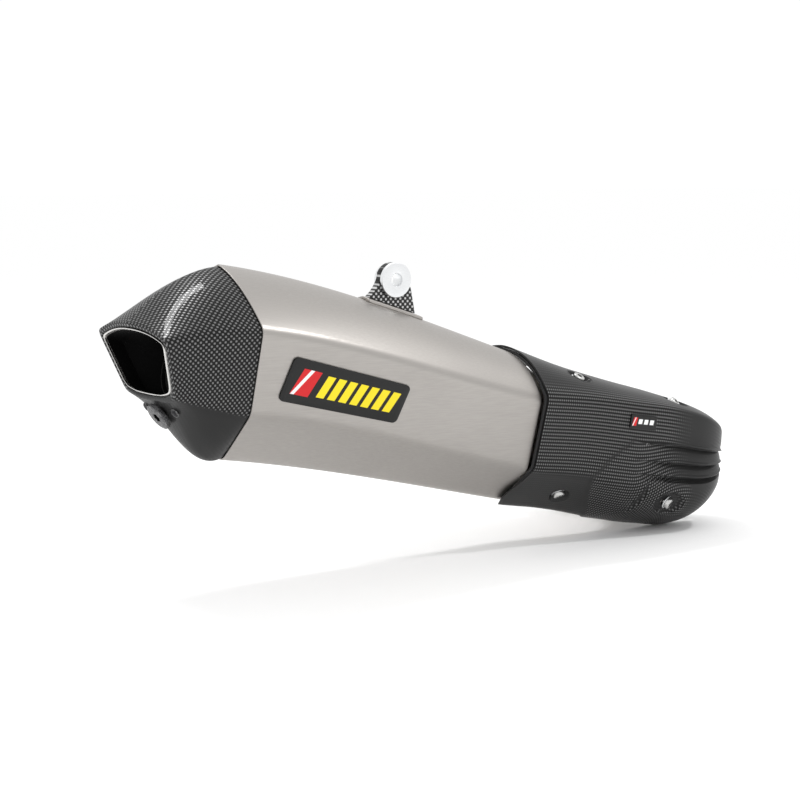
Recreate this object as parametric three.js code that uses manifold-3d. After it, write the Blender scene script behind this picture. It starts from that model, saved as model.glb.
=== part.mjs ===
// Racing exhaust silencer: titanium six-sided body, carbon end cap, hanger and heat guard.
// Millimetres. +X runs forward to the inlet, +Y to the rider's left, +Z up, as it hangs on the bike.
// The design is laid out from the centre of the joint between end cap and sleeve, then the whole
// group is moved so that the origin is the axis of the hanger bush.
import * as THREE from "three";
import * as BufferGeometryUtils from "three/addons/utils/BufferGeometryUtils.js";
import Module from "manifold-3d";

const wasm = await Module();
wasm.setup();

// ---------------------------------------------------------------- driving dimensions
const GAP = 0.3; // clearance between neighbours
const PITCH = THREE.MathUtils.degToRad(13.8); // the bore falls by this towards the front
const RAIL_END = 250; // the body's four long curves are laid out over this length
const SLEEVE_LENGTH = 253;
const SLEEVE_WALL = 1.2;
const CAP_WALL = 2.2;
const CAP_TONGUE = 9; // how far the end cap slides into the sleeve
const OUTLET = { x: -62.7, z: 4.75 }; // centre of the outlet, which the bore's axis passes through
const LIP = 4.6; // rolled carbon lip around the outlet
const LINER_WALL = 1;
const LINER_DEPTH = 15;
const CORE_INNER = 20;
const CORE_WALL = 1;
const CORE_REAR = 29; // the core starts this far inside the outlet
const CORE_FRONT = 316;
const PIPE_RADIUS = 25;
const PIPE_WALL = 1.2;
const BEND_RADIUS = 65;
const CONE_FRONT = 408; // along the bore's axis, from the outlet
const PIPE_STRAIGHT = 18;
const SOCKET = { length: 34, wall: 1.5, overlap: 12 };
const CLAMP = { width: 16, wall: 1.6, lug: 15, slit: 5 };
const HANGER = { x: 149.8, z: 54.4, plate: 6, boss: 13, bore: 11 };
const BUSH = { flange: 13.3, flangeThickness: 3, barrel: 8.2, bore: 5 };
const GUARD = { rear: 255, nose: 411, noseRadius: 60, wall: 1.3, farEdge: 26, bellyEdge: -3 };
const BADGE_THICKNESS = 0.9;

const BORE_AXIS = new THREE.Vector3(Math.cos(PITCH), 0, -Math.sin(PITCH));
const BORE_START = new THREE.Vector3(OUTLET.x, 0, OUTLET.z);
const X = new THREE.Vector3(1, 0, 0);
const Y = new THREE.Vector3(0, 1, 0);
const Z = new THREE.Vector3(0, 0, 1);

const alongBore = (distance) => BORE_START.clone().addScaledVector(BORE_AXIS, distance);

// ---------------------------------------------------------------- finishes
const finish = (color, roughness, metalness) =>
  new THREE.MeshStandardMaterial({ color, roughness, metalness });
const TITANIUM = finish(0xb3ada6, 0.42, 1);
const BRIGHT_TITANIUM = finish(0xc9c5bf, 0.28, 1);
const CARBON = finish(0x15171a, 0.22, 0);
const ALUMINIUM = finish(0xd8dadc, 0.35, 1);
const STEEL = finish(0xc2c4c6, 0.25, 1);
const BLACK_STEEL = finish(0x24272a, 0.4, 0.8);
const RUBBER = finish(0x0d0d0e, 0.8, 0);
const WOOL = finish(0xd9c58a, 0.95, 0);
const LABEL = finish(0x0b0b0c, 0.35, 0);

// ---------------------------------------------------------------- solids
const solidOf = (geometry) => {
  const plain = geometry.clone();
  plain.deleteAttribute("normal");
  plain.deleteAttribute("uv");
  const merged = BufferGeometryUtils.mergeVertices(plain, 1e-4);
  const mesh = new wasm.Mesh({
    numProp: 3,
    vertProperties: new Float32Array(merged.attributes.position.array),
    triVerts: new Uint32Array(merged.index.array),
  });
  return new wasm.Manifold(mesh);
};

const geometryOf = (solid) => {
  const mesh = solid.getMesh();
  const geometry = new THREE.BufferGeometry();
  geometry.setAttribute("position", new THREE.BufferAttribute(mesh.vertProperties, 3));
  geometry.setIndex(new THREE.BufferAttribute(mesh.triVerts, 1));
  geometry.computeVertexNormals();
  return geometry;
};

const cut = (solid, ...tools) => tools.reduce((left, tool) => left.subtract(tool), solid);
const join = (...solids) => solids.reduce((left, right) => left.add(right));

// A skin through closed rings of equal count. It closes on itself, or is shut by a fan at each end.
const loft = (rings, closesOnItself = false) => {
  const count = rings[0].length;
  const points = rings.flat();
  const faces = [];
  const spans = closesOnItself ? rings.length : rings.length - 1;
  for (let i = 0; i < spans; i++) {
    const next = (i + 1) % rings.length;
    for (let j = 0; j < count; j++) {
      const k = (j + 1) % count;
      faces.push(i * count + j, i * count + k, next * count + k);
      faces.push(i * count + j, next * count + k, next * count + j);
    }
  }
  if (!closesOnItself) {
    for (const end of [0, rings.length - 1]) {
      const centre = rings[end].reduce((sum, p) => sum.add(p), new THREE.Vector3());
      points.push(centre.divideScalar(count));
      for (let j = 0; j < count; j++) {
        const edge = [end * count + j, end * count + ((j + 1) % count)];
        faces.push(...(end === 0 ? edge.reverse() : edge), points.length - 1);
      }
    }
  }
  const geometry = new THREE.BufferGeometry().setFromPoints(points);
  geometry.setIndex(faces);
  return facingOut(geometry);
};

const signedVolume = (geometry) => {
  const position = geometry.attributes.position;
  const index = geometry.index.array;
  const corner = [0, 1, 2].map(() => new THREE.Vector3());
  let volume = 0;
  for (let i = 0; i < index.length; i += 3) {
    corner.forEach((point, c) => point.fromBufferAttribute(position, index[i + c]));
    volume += corner[0].dot(corner[1].cross(corner[2])) / 6;
  }
  return volume;
};

const facingOut = (geometry) => {
  if (signedVolume(geometry) < 0) {
    geometry.setIndex([...geometry.index.array].reverse());
  }
  return geometry;
};

// A cylinder, or any lathe profile of [radius, height] pairs, stood on a point along an axis.
const placed = (geometry, point, axis, twist = 0) => {
  const turn = new THREE.Quaternion().setFromUnitVectors(Y, axis.clone().normalize());
  const spin = new THREE.Quaternion().setFromAxisAngle(Y, twist);
  geometry.applyQuaternion(turn.multiply(spin));
  return geometry.translate(point.x, point.y, point.z);
};

const turned = (profile, point, axis, segments = 24) => {
  const outline = profile.map(([r, h]) => new THREE.Vector2(r, h));
  const onAxis = profile[0][0] === 0 && profile.at(-1)[0] === 0;
  if (!onAxis) {
    outline.push(outline[0].clone());
  }
  return solidOf(facingOut(mergedLathe(outline, segments, point, axis)));
};

const mergedLathe = (outline, segments, point, axis) => {
  const lathe = placed(new THREE.LatheGeometry(outline, segments), point, axis);
  lathe.deleteAttribute("normal");
  lathe.deleteAttribute("uv");
  return BufferGeometryUtils.mergeVertices(lathe, 1e-4);
};

const rod = (radius, from, to, point, axis, segments = 24) =>
  turned([[0, from], [radius, from], [radius, to], [0, to]], point, axis, segments);

const ring = (inner, outer, from, to, point, axis, segments = 24) =>
  turned([[inner, from], [outer, from], [outer, to], [inner, to]], point, axis, segments);

const block = (min, max) => {
  const size = new THREE.Vector3().subVectors(max, min);
  const centre = new THREE.Vector3().addVectors(min, max).multiplyScalar(0.5);
  const box = new THREE.BoxGeometry(size.x, size.y, size.z);
  return solidOf(box.translate(centre.x, centre.y, centre.z));
};

// ---------------------------------------------------------------- the six-sided section
// Half a section runs down the right side: spine, roof, upper ridge, flank, lower ridge, belly, keel.
// roof and belly give the control point of those two curves as shares of the span they cross.
const between = (a, b, share) => a.clone().lerp(b, share);

const sectionCurves = (s) => {
  const roofControl = new THREE.Vector3(
    THREE.MathUtils.lerp(s.spine.x, s.ridge.x, 0.5),
    s.ridge.y * s.roof[0],
    THREE.MathUtils.lerp(s.ridge.z, s.spine.z, s.roof[1]),
  );
  const bellyControl = new THREE.Vector3(
    THREE.MathUtils.lerp(s.keel.x, s.chine.x, 0.5),
    s.chine.y * s.belly[0],
    THREE.MathUtils.lerp(s.chine.z, s.keel.z, s.belly[1]),
  );
  const flankLength = s.ridge.distanceTo(s.chine);
  const flank = {
    top: between(s.ridge, s.chine, s.round / flankLength),
    foot: between(s.chine, s.ridge, s.round / flankLength),
  };
  const roof = new THREE.QuadraticBezierCurve3(s.spine, roofControl, s.ridge);
  const belly = new THREE.QuadraticBezierCurve3(s.chine, bellyControl, s.keel);
  return { roof, belly, flank };
};

const halfSection = (s) => {
  const { roof, belly, flank } = sectionCurves(s);
  const roofEnd = 1 - s.round / roof.getLength();
  const bellyStart = s.round / belly.getLength();
  const bellyEnd = 1 - s.keelRound / belly.getLength();
  const upper = new THREE.QuadraticBezierCurve3(roof.getPoint(roofEnd), s.ridge, flank.top);
  const lower = new THREE.QuadraticBezierCurve3(flank.foot, s.chine, belly.getPoint(bellyStart));
  const keelEdge = belly.getPoint(bellyEnd);
  const keelFar = keelEdge.clone().multiply(new THREE.Vector3(1, -1, 1));
  const keel = new THREE.QuadraticBezierCurve3(keelEdge, s.keel, keelFar);
  const points = [];
  for (const share of [0, 0.15, 0.32, 0.5, 0.68, 0.85]) {
    points.push(roof.getPoint(share * roofEnd));
  }
  for (const share of [0, 0.33, 0.67, 1]) {
    points.push(upper.getPoint(share));
  }
  for (const [share, step] of s.steps) {
    const outward = flankNormal(s);
    points.push(between(flank.top, flank.foot, share).addScaledVector(outward, step));
  }
  for (const share of [0, 0.33, 0.67, 1]) {
    points.push(lower.getPoint(share));
  }
  for (const share of [0.3, 0.65, 1]) {
    points.push(belly.getPoint(THREE.MathUtils.lerp(bellyStart, bellyEnd, share)));
  }
  points.push(keel.getPoint(0.25), keel.getPoint(0.5));
  return points;
};

const flankNormal = (s) => {
  const down = new THREE.Vector3().subVectors(s.chine, s.ridge).normalize();
  return new THREE.Vector3(0, -down.z, down.y).normalize();
};

const FLAT_FLANK = [[0.33, 0], [0.67, 0]];

// The whole ring: the half section is given on +Y and mirrored to -Y.
const sectionRing = (s) => {
  const left = halfSection({ round: 5, keelRound: 9, steps: FLAT_FLANK, ...s });
  const right = left.slice(1, -1).reverse();
  return [...left, ...right.map((p) => new THREE.Vector3(p.x, -p.y, p.z))];
};

// Moves each point of a ring inward, in the ring's own plane.
const inset = (points, distance) => {
  const count = points.length;
  const centre = points.reduce((sum, p) => sum.add(p), new THREE.Vector3()).divideScalar(count);
  const spoke = (i) => points[i].clone().sub(centre);
  const normal = new THREE.Vector3();
  for (let i = 0; i < count; i++) {
    normal.add(spoke(i).cross(spoke((i + 1) % count)));
  }
  normal.normalize();
  return points.map((point, i) => {
    const before = point.clone().sub(points[(i + count - 1) % count]).normalize();
    const after = points[(i + 1) % count].clone().sub(point).normalize();
    const tangent = before.clone().add(after).normalize();
    const stretch = Math.min(1 / Math.max(tangent.dot(before), 0.6), 1.5);
    const inward = normal.clone().cross(tangent).normalize();
    return point.clone().addScaledVector(inward, distance * stretch);
  });
};

const rail = (...points) =>
  new THREE.CubicBezierCurve3(...points.map((p) => new THREE.Vector3(...p)));

// ---------------------------------------------------------------- body skin
// Each long curve has its control points at thirds of its length, so x runs evenly along it.
const THIRD = RAIL_END / 3;
const BODY = {
  spine: rail([0, 0, 70.6], [THIRD, 0, 57.9], [2 * THIRD, 0, 26.9], [RAIL_END, 0, -2.8]),
  ridge: rail([0, 62.3, 28], [THIRD, 60, 14.7], [2 * THIRD, 56.6, -17.3], [RAIL_END, 53, -37.2]),
  chine: rail([0, 43.8, -33], [THIRD, 41.6, -42], [2 * THIRD, 38.8, -74.7], [RAIL_END, 36, -93.8]),
  keel: rail([0, 0, -72.4], [THIRD, 0, -85], [2 * THIRD, 0, -106.2], [RAIL_END, 0, -125.4]),
};
const bodySection = (x) => {
  const t = x / RAIL_END;
  return {
    spine: BODY.spine.getPoint(t),
    ridge: BODY.ridge.getPoint(t),
    chine: BODY.chine.getPoint(t),
    keel: BODY.keel.getPoint(t),
    roof: [THREE.MathUtils.lerp(0.5, 0.66, t), THREE.MathUtils.lerp(0.79, 0.97, t)],
    belly: [0.5, 0.5],
  };
};
const bodyRing = (x) => sectionRing(bodySection(x));

// End cap: s = 0 at the sleeve, 1 at the outlet.
const CAP = {
  spine: rail([0, 0, 70.6], [-28.3, 0, 68.7], [-51.8, 0, 51.6], [-71.9, 0, 33]),
  ridge: rail([0, 62.3, 28], [-22, 59.4, 28.5], [-46, 55, 27.2], [-68.9, 51.6, 23.5]),
  chine: rail([0, 43.8, -33], [-19, 41.8, -29.5], [-38, 39.4, -24.4], [-55.1, 37.5, -18.4]),
  keel: rail([0, 0, -72.4], [-27, 0, -79.5], [-37.6, 0, -38.5], [-53.4, 0, -23.5]),
};
const capSection = (s) => ({
  spine: CAP.spine.getPoint(s),
  ridge: CAP.ridge.getPoint(s),
  chine: CAP.chine.getPoint(s),
  keel: CAP.keel.getPoint(s),
  roof: [THREE.MathUtils.lerp(0.5, 0.58, s), THREE.MathUtils.lerp(0.79, 1, s)],
  belly: [THREE.MathUtils.lerp(0.5, 0.6, s), THREE.MathUtils.lerp(0.5, 1, Math.sqrt(s))],
  keelRound: THREE.MathUtils.lerp(9, 16, s),
});
const capRing = (s) => sectionRing(capSection(s));

// The outlet is the cap's last ring, drawn in by the lip and rounded at its corners.
const OUTLET_UP = new THREE.Vector3(-0.313, 0, 0.95);
const outletRing = (drawnIn, depth) => {
  const lipPoint = (y, up) =>
    new THREE.Vector3(-62, y, 2.55).addScaledVector(OUTLET_UP, up).addScaledVector(BORE_AXIS, depth);
  return inset(
    sectionRing({
      spine: lipPoint(0, 32.2),
      ridge: lipPoint(51.6, 21),
      chine: lipPoint(37.5, -21.6),
      keel: lipPoint(0, -27.6),
      roof: [0.58, 1],
      belly: [0.6, 1],
      round: 9,
      keelRound: 16,
    }),
    drawnIn,
  );
};

// A circle with as many points as a section ring, around the bore's axis.
const boreRing = (radius, distance, like) => {
  const centre = alongBore(distance);
  const up = new THREE.Vector3(Math.sin(PITCH), 0, Math.cos(PITCH));
  return like.map((point) => {
    const spoke = point.clone().sub(centre);
    const angle = Math.atan2(spoke.y, spoke.dot(up));
    const reach = Y.clone().multiplyScalar(Math.sin(angle)).addScaledVector(up, Math.cos(angle));
    return centre.clone().addScaledVector(reach, radius);
  });
};

const bodyLoft = (stations, offset) =>
  solidOf(loft(stations.map((x) => inset(bodyRing(x), offset))));

const BODY_STATIONS = [0, 28, 62, 100, 150, 200, SLEEVE_LENGTH];

// ---------------------------------------------------------------- shells of the canister
const sleeve = () => {
  const outside = BODY_STATIONS.map((x) => bodyRing(x));
  const inside = BODY_STATIONS.map((x) => inset(bodyRing(x), SLEEVE_WALL)).reverse();
  return solidOf(loft([...outside, ...inside], true));
};

const CAP_STANDIN = SLEEVE_WALL + GAP; // the cap's skin runs on under the sleeve's edge
const CAP_STATIONS = [0.1, 0.22, 0.35, 0.48, 0.61, 0.74, 0.87];

const endCap = () => {
  const easedIn = (s) => CAP_STANDIN * (1 - s);
  const outside = [
    inset(bodyRing(CAP_TONGUE), CAP_STANDIN),
    inset(bodyRing(0), CAP_STANDIN),
    ...CAP_STATIONS.map((s) => inset(capRing(s), easedIn(s))),
    capRing(1),
  ];
  const lip = [outletRing(1.2, -0.6), outletRing(LIP - 1, -0.2), outletRing(LIP, 0.8)];
  const throat = [outletRing(LIP, 5), outletRing(LIP - CAP_WALL * 0.8, 7)];
  const inside = [
    ...CAP_STATIONS.slice(0, 6)
      .reverse()
      .map((s) => inset(capRing(s), easedIn(s) + CAP_WALL)),
    inset(bodyRing(0), CAP_STANDIN + CAP_WALL),
    inset(bodyRing(CAP_TONGUE), CAP_STANDIN + CAP_WALL),
  ];
  return solidOf(loft([...outside, ...lip, ...throat, ...inside], true));
};

const outletLiner = () => {
  const edge = LIP + GAP;
  const outer = outletRing(edge, -0.9);
  const bore = CORE_INNER + CORE_WALL + GAP * 4;
  const outside = [outer, outletRing(edge, LINER_DEPTH), boreRing(bore, CORE_REAR + 3, outer)];
  const inside = [
    boreRing(bore, CORE_REAR + 1.6, outer),
    outletRing(edge + LINER_WALL, LINER_DEPTH - 1),
    outletRing(edge + LINER_WALL, -0.9),
  ];
  return solidOf(loft([...outside, ...inside], true));
};

// ---------------------------------------------------------------- inside the canister
const CORE_OUTER = CORE_INNER + CORE_WALL;
const HOLE = { radius: 3.2, rows: 6, perRow: 4, first: 104, pitch: 28 };

const coreTube = () => {
  let tube = ring(CORE_INNER, CORE_OUTER, CORE_REAR, CORE_FRONT, BORE_START, BORE_AXIS);
  for (let row = 0; row < HOLE.rows; row++) {
    for (let i = 0; i < HOLE.perRow; i++) {
      const angle = ((i + (row % 2) / 2) / HOLE.perRow) * 2 * Math.PI;
      const up = new THREE.Vector3(Math.sin(PITCH), 0, Math.cos(PITCH));
      const out = up.multiplyScalar(Math.cos(angle)).addScaledVector(Y, Math.sin(angle));
      const centre = alongBore(HOLE.first + row * HOLE.pitch);
      tube = tube.subtract(rod(HOLE.radius, 10, 30, centre, out, 8));
    }
  }
  return tube;
};

const boreHole = (radius) => rod(radius, -20, 400, BORE_START, BORE_AXIS, 48);

const bulkhead = (from, to) => {
  const fit = CAP_STANDIN + CAP_WALL + GAP;
  return bodyLoft([from, to], fit).subtract(boreHole(CORE_OUTER + GAP));
};

const packing = () => {
  const stations = [24, 62, 100, 150, 200, 240];
  return bodyLoft(stations, SLEEVE_WALL + 1.2).subtract(boreHole(CORE_OUTER + 0.8));
};

const DAMPER = { tube: 14, wall: 1.2, rim: 19.4, length: 92, recess: 2.5 };
const damper = () => {
  const start = CORE_REAR + DAMPER.recess;
  const end = start + DAMPER.length;
  const bore = DAMPER.tube - DAMPER.wall;
  return turned(
    [
      [bore, start],
      [DAMPER.rim, start],
      [DAMPER.rim, start + 3],
      [DAMPER.tube, start + 5],
      [DAMPER.tube, end - 10],
      [DAMPER.rim, end - 6],
      [DAMPER.rim, end],
      [bore, end],
    ],
    BORE_START,
    BORE_AXIS,
  );
};

// ---------------------------------------------------------------- front cone and inlet pipe
const coneRings = (offset) => {
  const first = inset(bodyRing(SLEEVE_LENGTH + 1), SLEEVE_WALL + GAP + offset);
  const stations = [0.25, 0.5, 0.75];
  const last = boreRing(PIPE_RADIUS - offset, CONE_FRONT, first);
  const middle = stations.map((share) => {
    const eased = THREE.MathUtils.smoothstep(share, 0, 1);
    return first.map((point, i) => {
      const swept = between(point, last[i], share);
      return swept.lerp(between(point, last[i], eased), 0.5);
    });
  });
  return [first, ...middle, last];
};

const frontCone = () => {
  const spigot = inset(bodyRing(SLEEVE_LENGTH - 8), SLEEVE_WALL + GAP);
  const spigotInside = inset(bodyRing(SLEEVE_LENGTH - 8), SLEEVE_WALL + GAP + PIPE_WALL);
  const outside = [spigot, ...coneRings(0)];
  const inside = [...coneRings(PIPE_WALL).reverse(), spigotInside];
  return solidOf(loft([...outside, ...inside], true));
};
const coneBlank = () => solidOf(loft(coneRings(-GAP)));

const PIPE_START = alongBore(CONE_FRONT + GAP);
const BEND_START = alongBore(CONE_FRONT + 8);
const BEND_CENTRE = BEND_START.clone().addScaledVector(Y, BEND_RADIUS);
const BEND_END = BEND_CENTRE.clone().addScaledVector(BORE_AXIS, BEND_RADIUS);
const bendPoint = (angle) =>
  BEND_CENTRE.clone()
    .addScaledVector(BORE_AXIS, BEND_RADIUS * Math.sin(angle))
    .addScaledVector(Y, -BEND_RADIUS * Math.cos(angle));

// The pipe is swept as rings square to its path, so that the bend keeps a round section.
const pipeSolid = (radius, from, to) => {
  const up = new THREE.Vector3(Math.sin(PITCH), 0, Math.cos(PITCH));
  const circle = (centre, side) =>
    Array.from({ length: 28 }, (_, i) => {
      const angle = (i / 28) * 2 * Math.PI;
      const reach = side.clone().multiplyScalar(Math.cos(angle)).addScaledVector(up, Math.sin(angle));
      return centre.clone().addScaledVector(reach, radius);
    });
  const rings = [circle(PIPE_START.clone().addScaledVector(BORE_AXIS, -from), Y)];
  const steps = 8;
  for (let i = 0; i <= steps; i++) {
    const angle = ((i / steps) * Math.PI) / 2;
    const side = Y.clone().multiplyScalar(Math.cos(angle));
    rings.push(circle(bendPoint(angle), side.addScaledVector(BORE_AXIS, -Math.sin(angle))));
  }
  const back = BORE_AXIS.clone().negate();
  rings.push(circle(BEND_END.clone().addScaledVector(Y, PIPE_STRAIGHT + to), back));
  return solidOf(loft(rings));
};

const inletPipe = () => pipeSolid(PIPE_RADIUS, 0, 0).subtract(pipeSolid(PIPE_RADIUS - PIPE_WALL, 5, 5));

const PIPE_END = BEND_END.clone().addScaledVector(Y, PIPE_STRAIGHT);
const SOCKET_BORE = PIPE_RADIUS + GAP;
const SOCKET_OUTER = SOCKET_BORE + SOCKET.wall;
const SOCKET_END = SOCKET.length - SOCKET.overlap;
const inletSocket = () => {
  const tube = ring(SOCKET_BORE, SOCKET_OUTER, -SOCKET.overlap, SOCKET_END, PIPE_END, Y, 36);
  const slot = { half: 1.2, depth: 17 };
  const from = PIPE_END.y + SOCKET_END - slot.depth;
  const to = PIPE_END.y + SOCKET_END + 1;
  const reach = SOCKET_OUTER + 2;
  const upright = block(
    new THREE.Vector3(PIPE_END.x - slot.half, from, PIPE_END.z - reach),
    new THREE.Vector3(PIPE_END.x + slot.half, to, PIPE_END.z + reach),
  );
  const level = block(
    new THREE.Vector3(PIPE_END.x - reach, from, PIPE_END.z - slot.half),
    new THREE.Vector3(PIPE_END.x + reach, to, PIPE_END.z + slot.half),
  );
  return cut(tube, upright, level);
};

// ---------------------------------------------------------------- clamp around the socket
const CLAMP_INNER = SOCKET_OUTER + GAP;
const CLAMP_OUTER = CLAMP_INNER + CLAMP.wall;
const CLAMP_Y = PIPE_END.y + SOCKET_END - CLAMP.width / 2 - 1;
const CLAMP_CENTRE = new THREE.Vector3(PIPE_END.x, CLAMP_Y, PIPE_END.z);
const LUG_Z = PIPE_END.z - CLAMP_OUTER - CLAMP.lug / 2 + 1;
const LUG_OUTSIDE = CLAMP.slit / 2 + 3;
const CLAMP_BOLT = { shank: 3, head: 5.2, headHeight: 5, length: 20 };

const clampBand = () => {
  const half = CLAMP.width / 2;
  const band = ring(CLAMP_INNER, CLAMP_OUTER, -half, half, CLAMP_CENTRE, Y, 36);
  const lugs = block(
    new THREE.Vector3(PIPE_END.x - LUG_OUTSIDE, CLAMP_Y - half, LUG_Z - CLAMP.lug / 2),
    new THREE.Vector3(PIPE_END.x + LUG_OUTSIDE, CLAMP_Y + half, LUG_Z + CLAMP.lug / 2),
  );
  const slit = block(
    new THREE.Vector3(PIPE_END.x - CLAMP.slit / 2, CLAMP_Y - 20, LUG_Z - 20),
    new THREE.Vector3(PIPE_END.x + CLAMP.slit / 2, CLAMP_Y + 20, LUG_Z + 20),
  );
  const throughHole = rod(CLAMP_BOLT.shank + GAP, -20, 20, boltPoint(), X, 16);
  return cut(join(band, lugs), rod(CLAMP_INNER, -20, 20, CLAMP_CENTRE, Y, 36), slit, throughHole);
};
const boltPoint = () => new THREE.Vector3(PIPE_END.x, CLAMP_Y, LUG_Z - 1.5);

const clampBolt = () => {
  const seat = LUG_OUTSIDE + GAP;
  const { shank, head, headHeight, length } = CLAMP_BOLT;
  const body = turned(
    [[0, -seat - headHeight], [head, -seat - headHeight], [head, -seat], [shank, -seat],
      [shank, length - seat], [0, length - seat]],
    boltPoint(),
    X,
    16,
  );
  const key = rod(2.9, -seat - headHeight - 1, -seat - headHeight + 2.6, boltPoint(), X, 6);
  return body.subtract(key);
};
const clampNut = () => {
  const seat = LUG_OUTSIDE + GAP;
  return cut(
    rod(5.8, seat, seat + 5, boltPoint(), X, 6),
    rod(CLAMP_BOLT.shank + GAP, 0, 40, boltPoint(), X, 16),
  );
};

// ---------------------------------------------------------------- carbon heat guard
// Each station: x, spine z, ridge y and z, chine y and z, keel z, then how deep its gills are.
const GUARD_STATIONS = [
  [255, -0.6, 58.7, -36.5, 41.5, -94.5, -130, 0],
  [300, -17.2, 59, -41.5, 42, -104, -139, 0],
  [347, -31.5, 59.5, -48.8, 47, -114, -149.5, 0],
  [390, -43.5, 60, -56, 54, -121, -157.5, 3],
  [425, -54.5, 60, -66, 56, -124, -160, 3.4],
  [471, -72, 60, -86, 56, -116, -134, 2.4],
];
const GILL_EDGES = [0.43, 0.69, 0.9]; // where each gill ends, as a share of the flank
const GILL_LIP = 0.025;

const guardTrack = new THREE.CubicInterpolant(
  GUARD_STATIONS.map((station) => station[0]),
  GUARD_STATIONS.flatMap((station) => station.slice(1)),
  7,
);
const guardSection = (x) => {
  const [spineZ, ridgeY, ridgeZ, chineY, chineZ, keelZ, gill] = guardTrack.evaluate(x);
  const pastNose = Math.max(x - GUARD.nose, 0) / GUARD.noseRadius;
  const narrowing = Math.sqrt(1 - pastNose * pastNose);
  const forward = THREE.MathUtils.smoothstep(x, 300, 385);
  const steps = GILL_EDGES.flatMap((edge) => [
    [edge, 0],
    [edge + GILL_LIP, -Math.max(gill, 0) * narrowing],
  ]);
  return {
    spine: new THREE.Vector3(x, 0, spineZ),
    ridge: new THREE.Vector3(x, ridgeY * narrowing, ridgeZ),
    chine: new THREE.Vector3(x, chineY * narrowing, chineZ),
    keel: new THREE.Vector3(x, 0, keelZ),
    roof: [0.67, 0.97],
    belly: [THREE.MathUtils.lerp(0.5, 0.86, forward), THREE.MathUtils.lerp(0.5, 0.78, forward)],
    round: 5 * narrowing,
    keelRound: 9 * narrowing,
    steps,
  };
};

const noseStation = (degrees) =>
  GUARD.nose + GUARD.noseRadius * Math.sin(THREE.MathUtils.degToRad(degrees));
const GUARD_RUN = [GUARD.rear, 300, 330, 352, 374, 393, GUARD.nose];
const GUARD_NOSE = [20, 39, 56, 70, 82].map(noseStation);

const guardLoft = (offset, firstX, lastShift) => {
  const stations = [...GUARD_RUN, ...GUARD_NOSE];
  const rings = stations.map((x) => inset(sectionRing(guardSection(x)), offset));
  rings[0].forEach((point) => point.setX(firstX));
  rings.at(-1).forEach((point) => point.setX(point.x + lastShift));
  return solidOf(loft(rings));
};

// A fixing sits in a round dish in the guard and screws into a post on the hot pipe.
const DISH = { radius: 8, wall: 1.2, depth: 4 };
const SCREW = { head: 4.6, headHeight: 3, shank: 2.5, length: 8.5 };
const FIXINGS = [
  { name: "rear_top", through: [305, -34, -26], from: alongBore(363) },
  { name: "front_top", through: [404, -40, -51], from: bendPoint(0.5) },
  { name: "rear_low", through: [298, -19, -121], from: alongBore(368) },
  { name: "front_low", through: [390, -46, -133], from: bendPoint(0.4) },
].map(({ name, through, from }) => {
  const axis = new THREE.Vector3(...through).sub(from).normalize();
  const skin = new THREE.Mesh(geometryOf(guardLoft(0, GUARD.rear, 0)));
  skin.material.side = THREE.BackSide;
  const [hit] = new THREE.Raycaster(from, axis).intersectObject(skin);
  return { name, axis, point: hit.point, reach: hit.distance };
});

// The guard is open on the side that faces the wheel, and its belly ends beside the keel.
const farSide = () => {
  const side = block(new THREE.Vector3(200, GUARD.farEdge, -250), new THREE.Vector3(500, 90, 50));
  const belly = new THREE.BoxGeometry(400, 100, 100).translate(0, 50 + GUARD.bellyEdge, -50);
  belly.rotateY(PITCH).translate(GUARD.rear, 0, -97);
  return side.add(solidOf(belly));
};

const heatGuard = () => {
  const outer = guardLoft(0, GUARD.rear, 0);
  const inner = guardLoft(GUARD.wall, GUARD.rear - 2, -GUARD.wall);
  let guard = outer.subtract(inner);
  for (const { point, axis } of FIXINGS) {
    const cup = rod(DISH.radius + DISH.wall, -DISH.depth - DISH.wall, 12, point, axis, 24);
    guard = join(guard, cup.intersect(outer));
    guard = guard.subtract(rod(DISH.radius, -DISH.depth, 14, point, axis, 24));
    guard = guard.subtract(rod(SCREW.shank + GAP, -12, 14, point, axis, 16));
  }
  return guard.subtract(farSide());
};

const screw = ({ point, axis }) => {
  const seat = -DISH.depth + 1.4;
  const top = seat + SCREW.headHeight;
  const body = turned(
    [[0, seat - SCREW.length], [SCREW.shank, seat - SCREW.length], [SCREW.shank, seat],
      [SCREW.head, seat], [SCREW.head, top - 0.8], [SCREW.head - 0.8, top], [0, top]],
    point,
    axis,
    14,
  );
  return body.subtract(rod(2.3, top - 1.8, top + 1, point, axis, 6));
};
const washer = ({ point, axis }) =>
  ring(SCREW.shank + GAP, 6, -DISH.depth + GAP, -DISH.depth + 1.1, point, axis, 14);
const post = ({ point, axis, reach }) => {
  const top = -DISH.depth - DISH.wall - GAP;
  return cut(
    rod(4.5, -reach, top, point, axis, 14),
    rod(SCREW.shank + GAP, top - 8, top + 1, point, axis, 10),
    coneBlank(),
    pipeSolid(PIPE_RADIUS + GAP, 12, 0),
  ).intersect(guardLoft(GUARD.wall + GAP, GUARD.rear - 2, -GUARD.wall - GAP));
};

// Rubber strip under the guard's rear edge, just ahead of the sleeve's end.
const SEAL = { from: SLEEVE_LENGTH + 0.5, to: SLEEVE_LENGTH + 7, thickness: 1.7 };
const edgeSeal = () => {
  const outside = GUARD.wall + GAP;
  const slab = block(
    new THREE.Vector3(SEAL.from, -80, -200),
    new THREE.Vector3(SEAL.to, 80, 20),
  );
  const strip = guardLoft(outside, SEAL.from, 0).intersect(slab);
  const hollow = guardLoft(outside + SEAL.thickness, SEAL.from - 1, 0);
  return cut(strip, hollow, farSide(), coneBlank());
};

// ---------------------------------------------------------------- hanger
const BUSH_POINT = new THREE.Vector3(HANGER.x, 0, HANGER.z);
const FOOT = { rear: 123, front: 172, half: 9, thickness: 1.8 };

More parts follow.
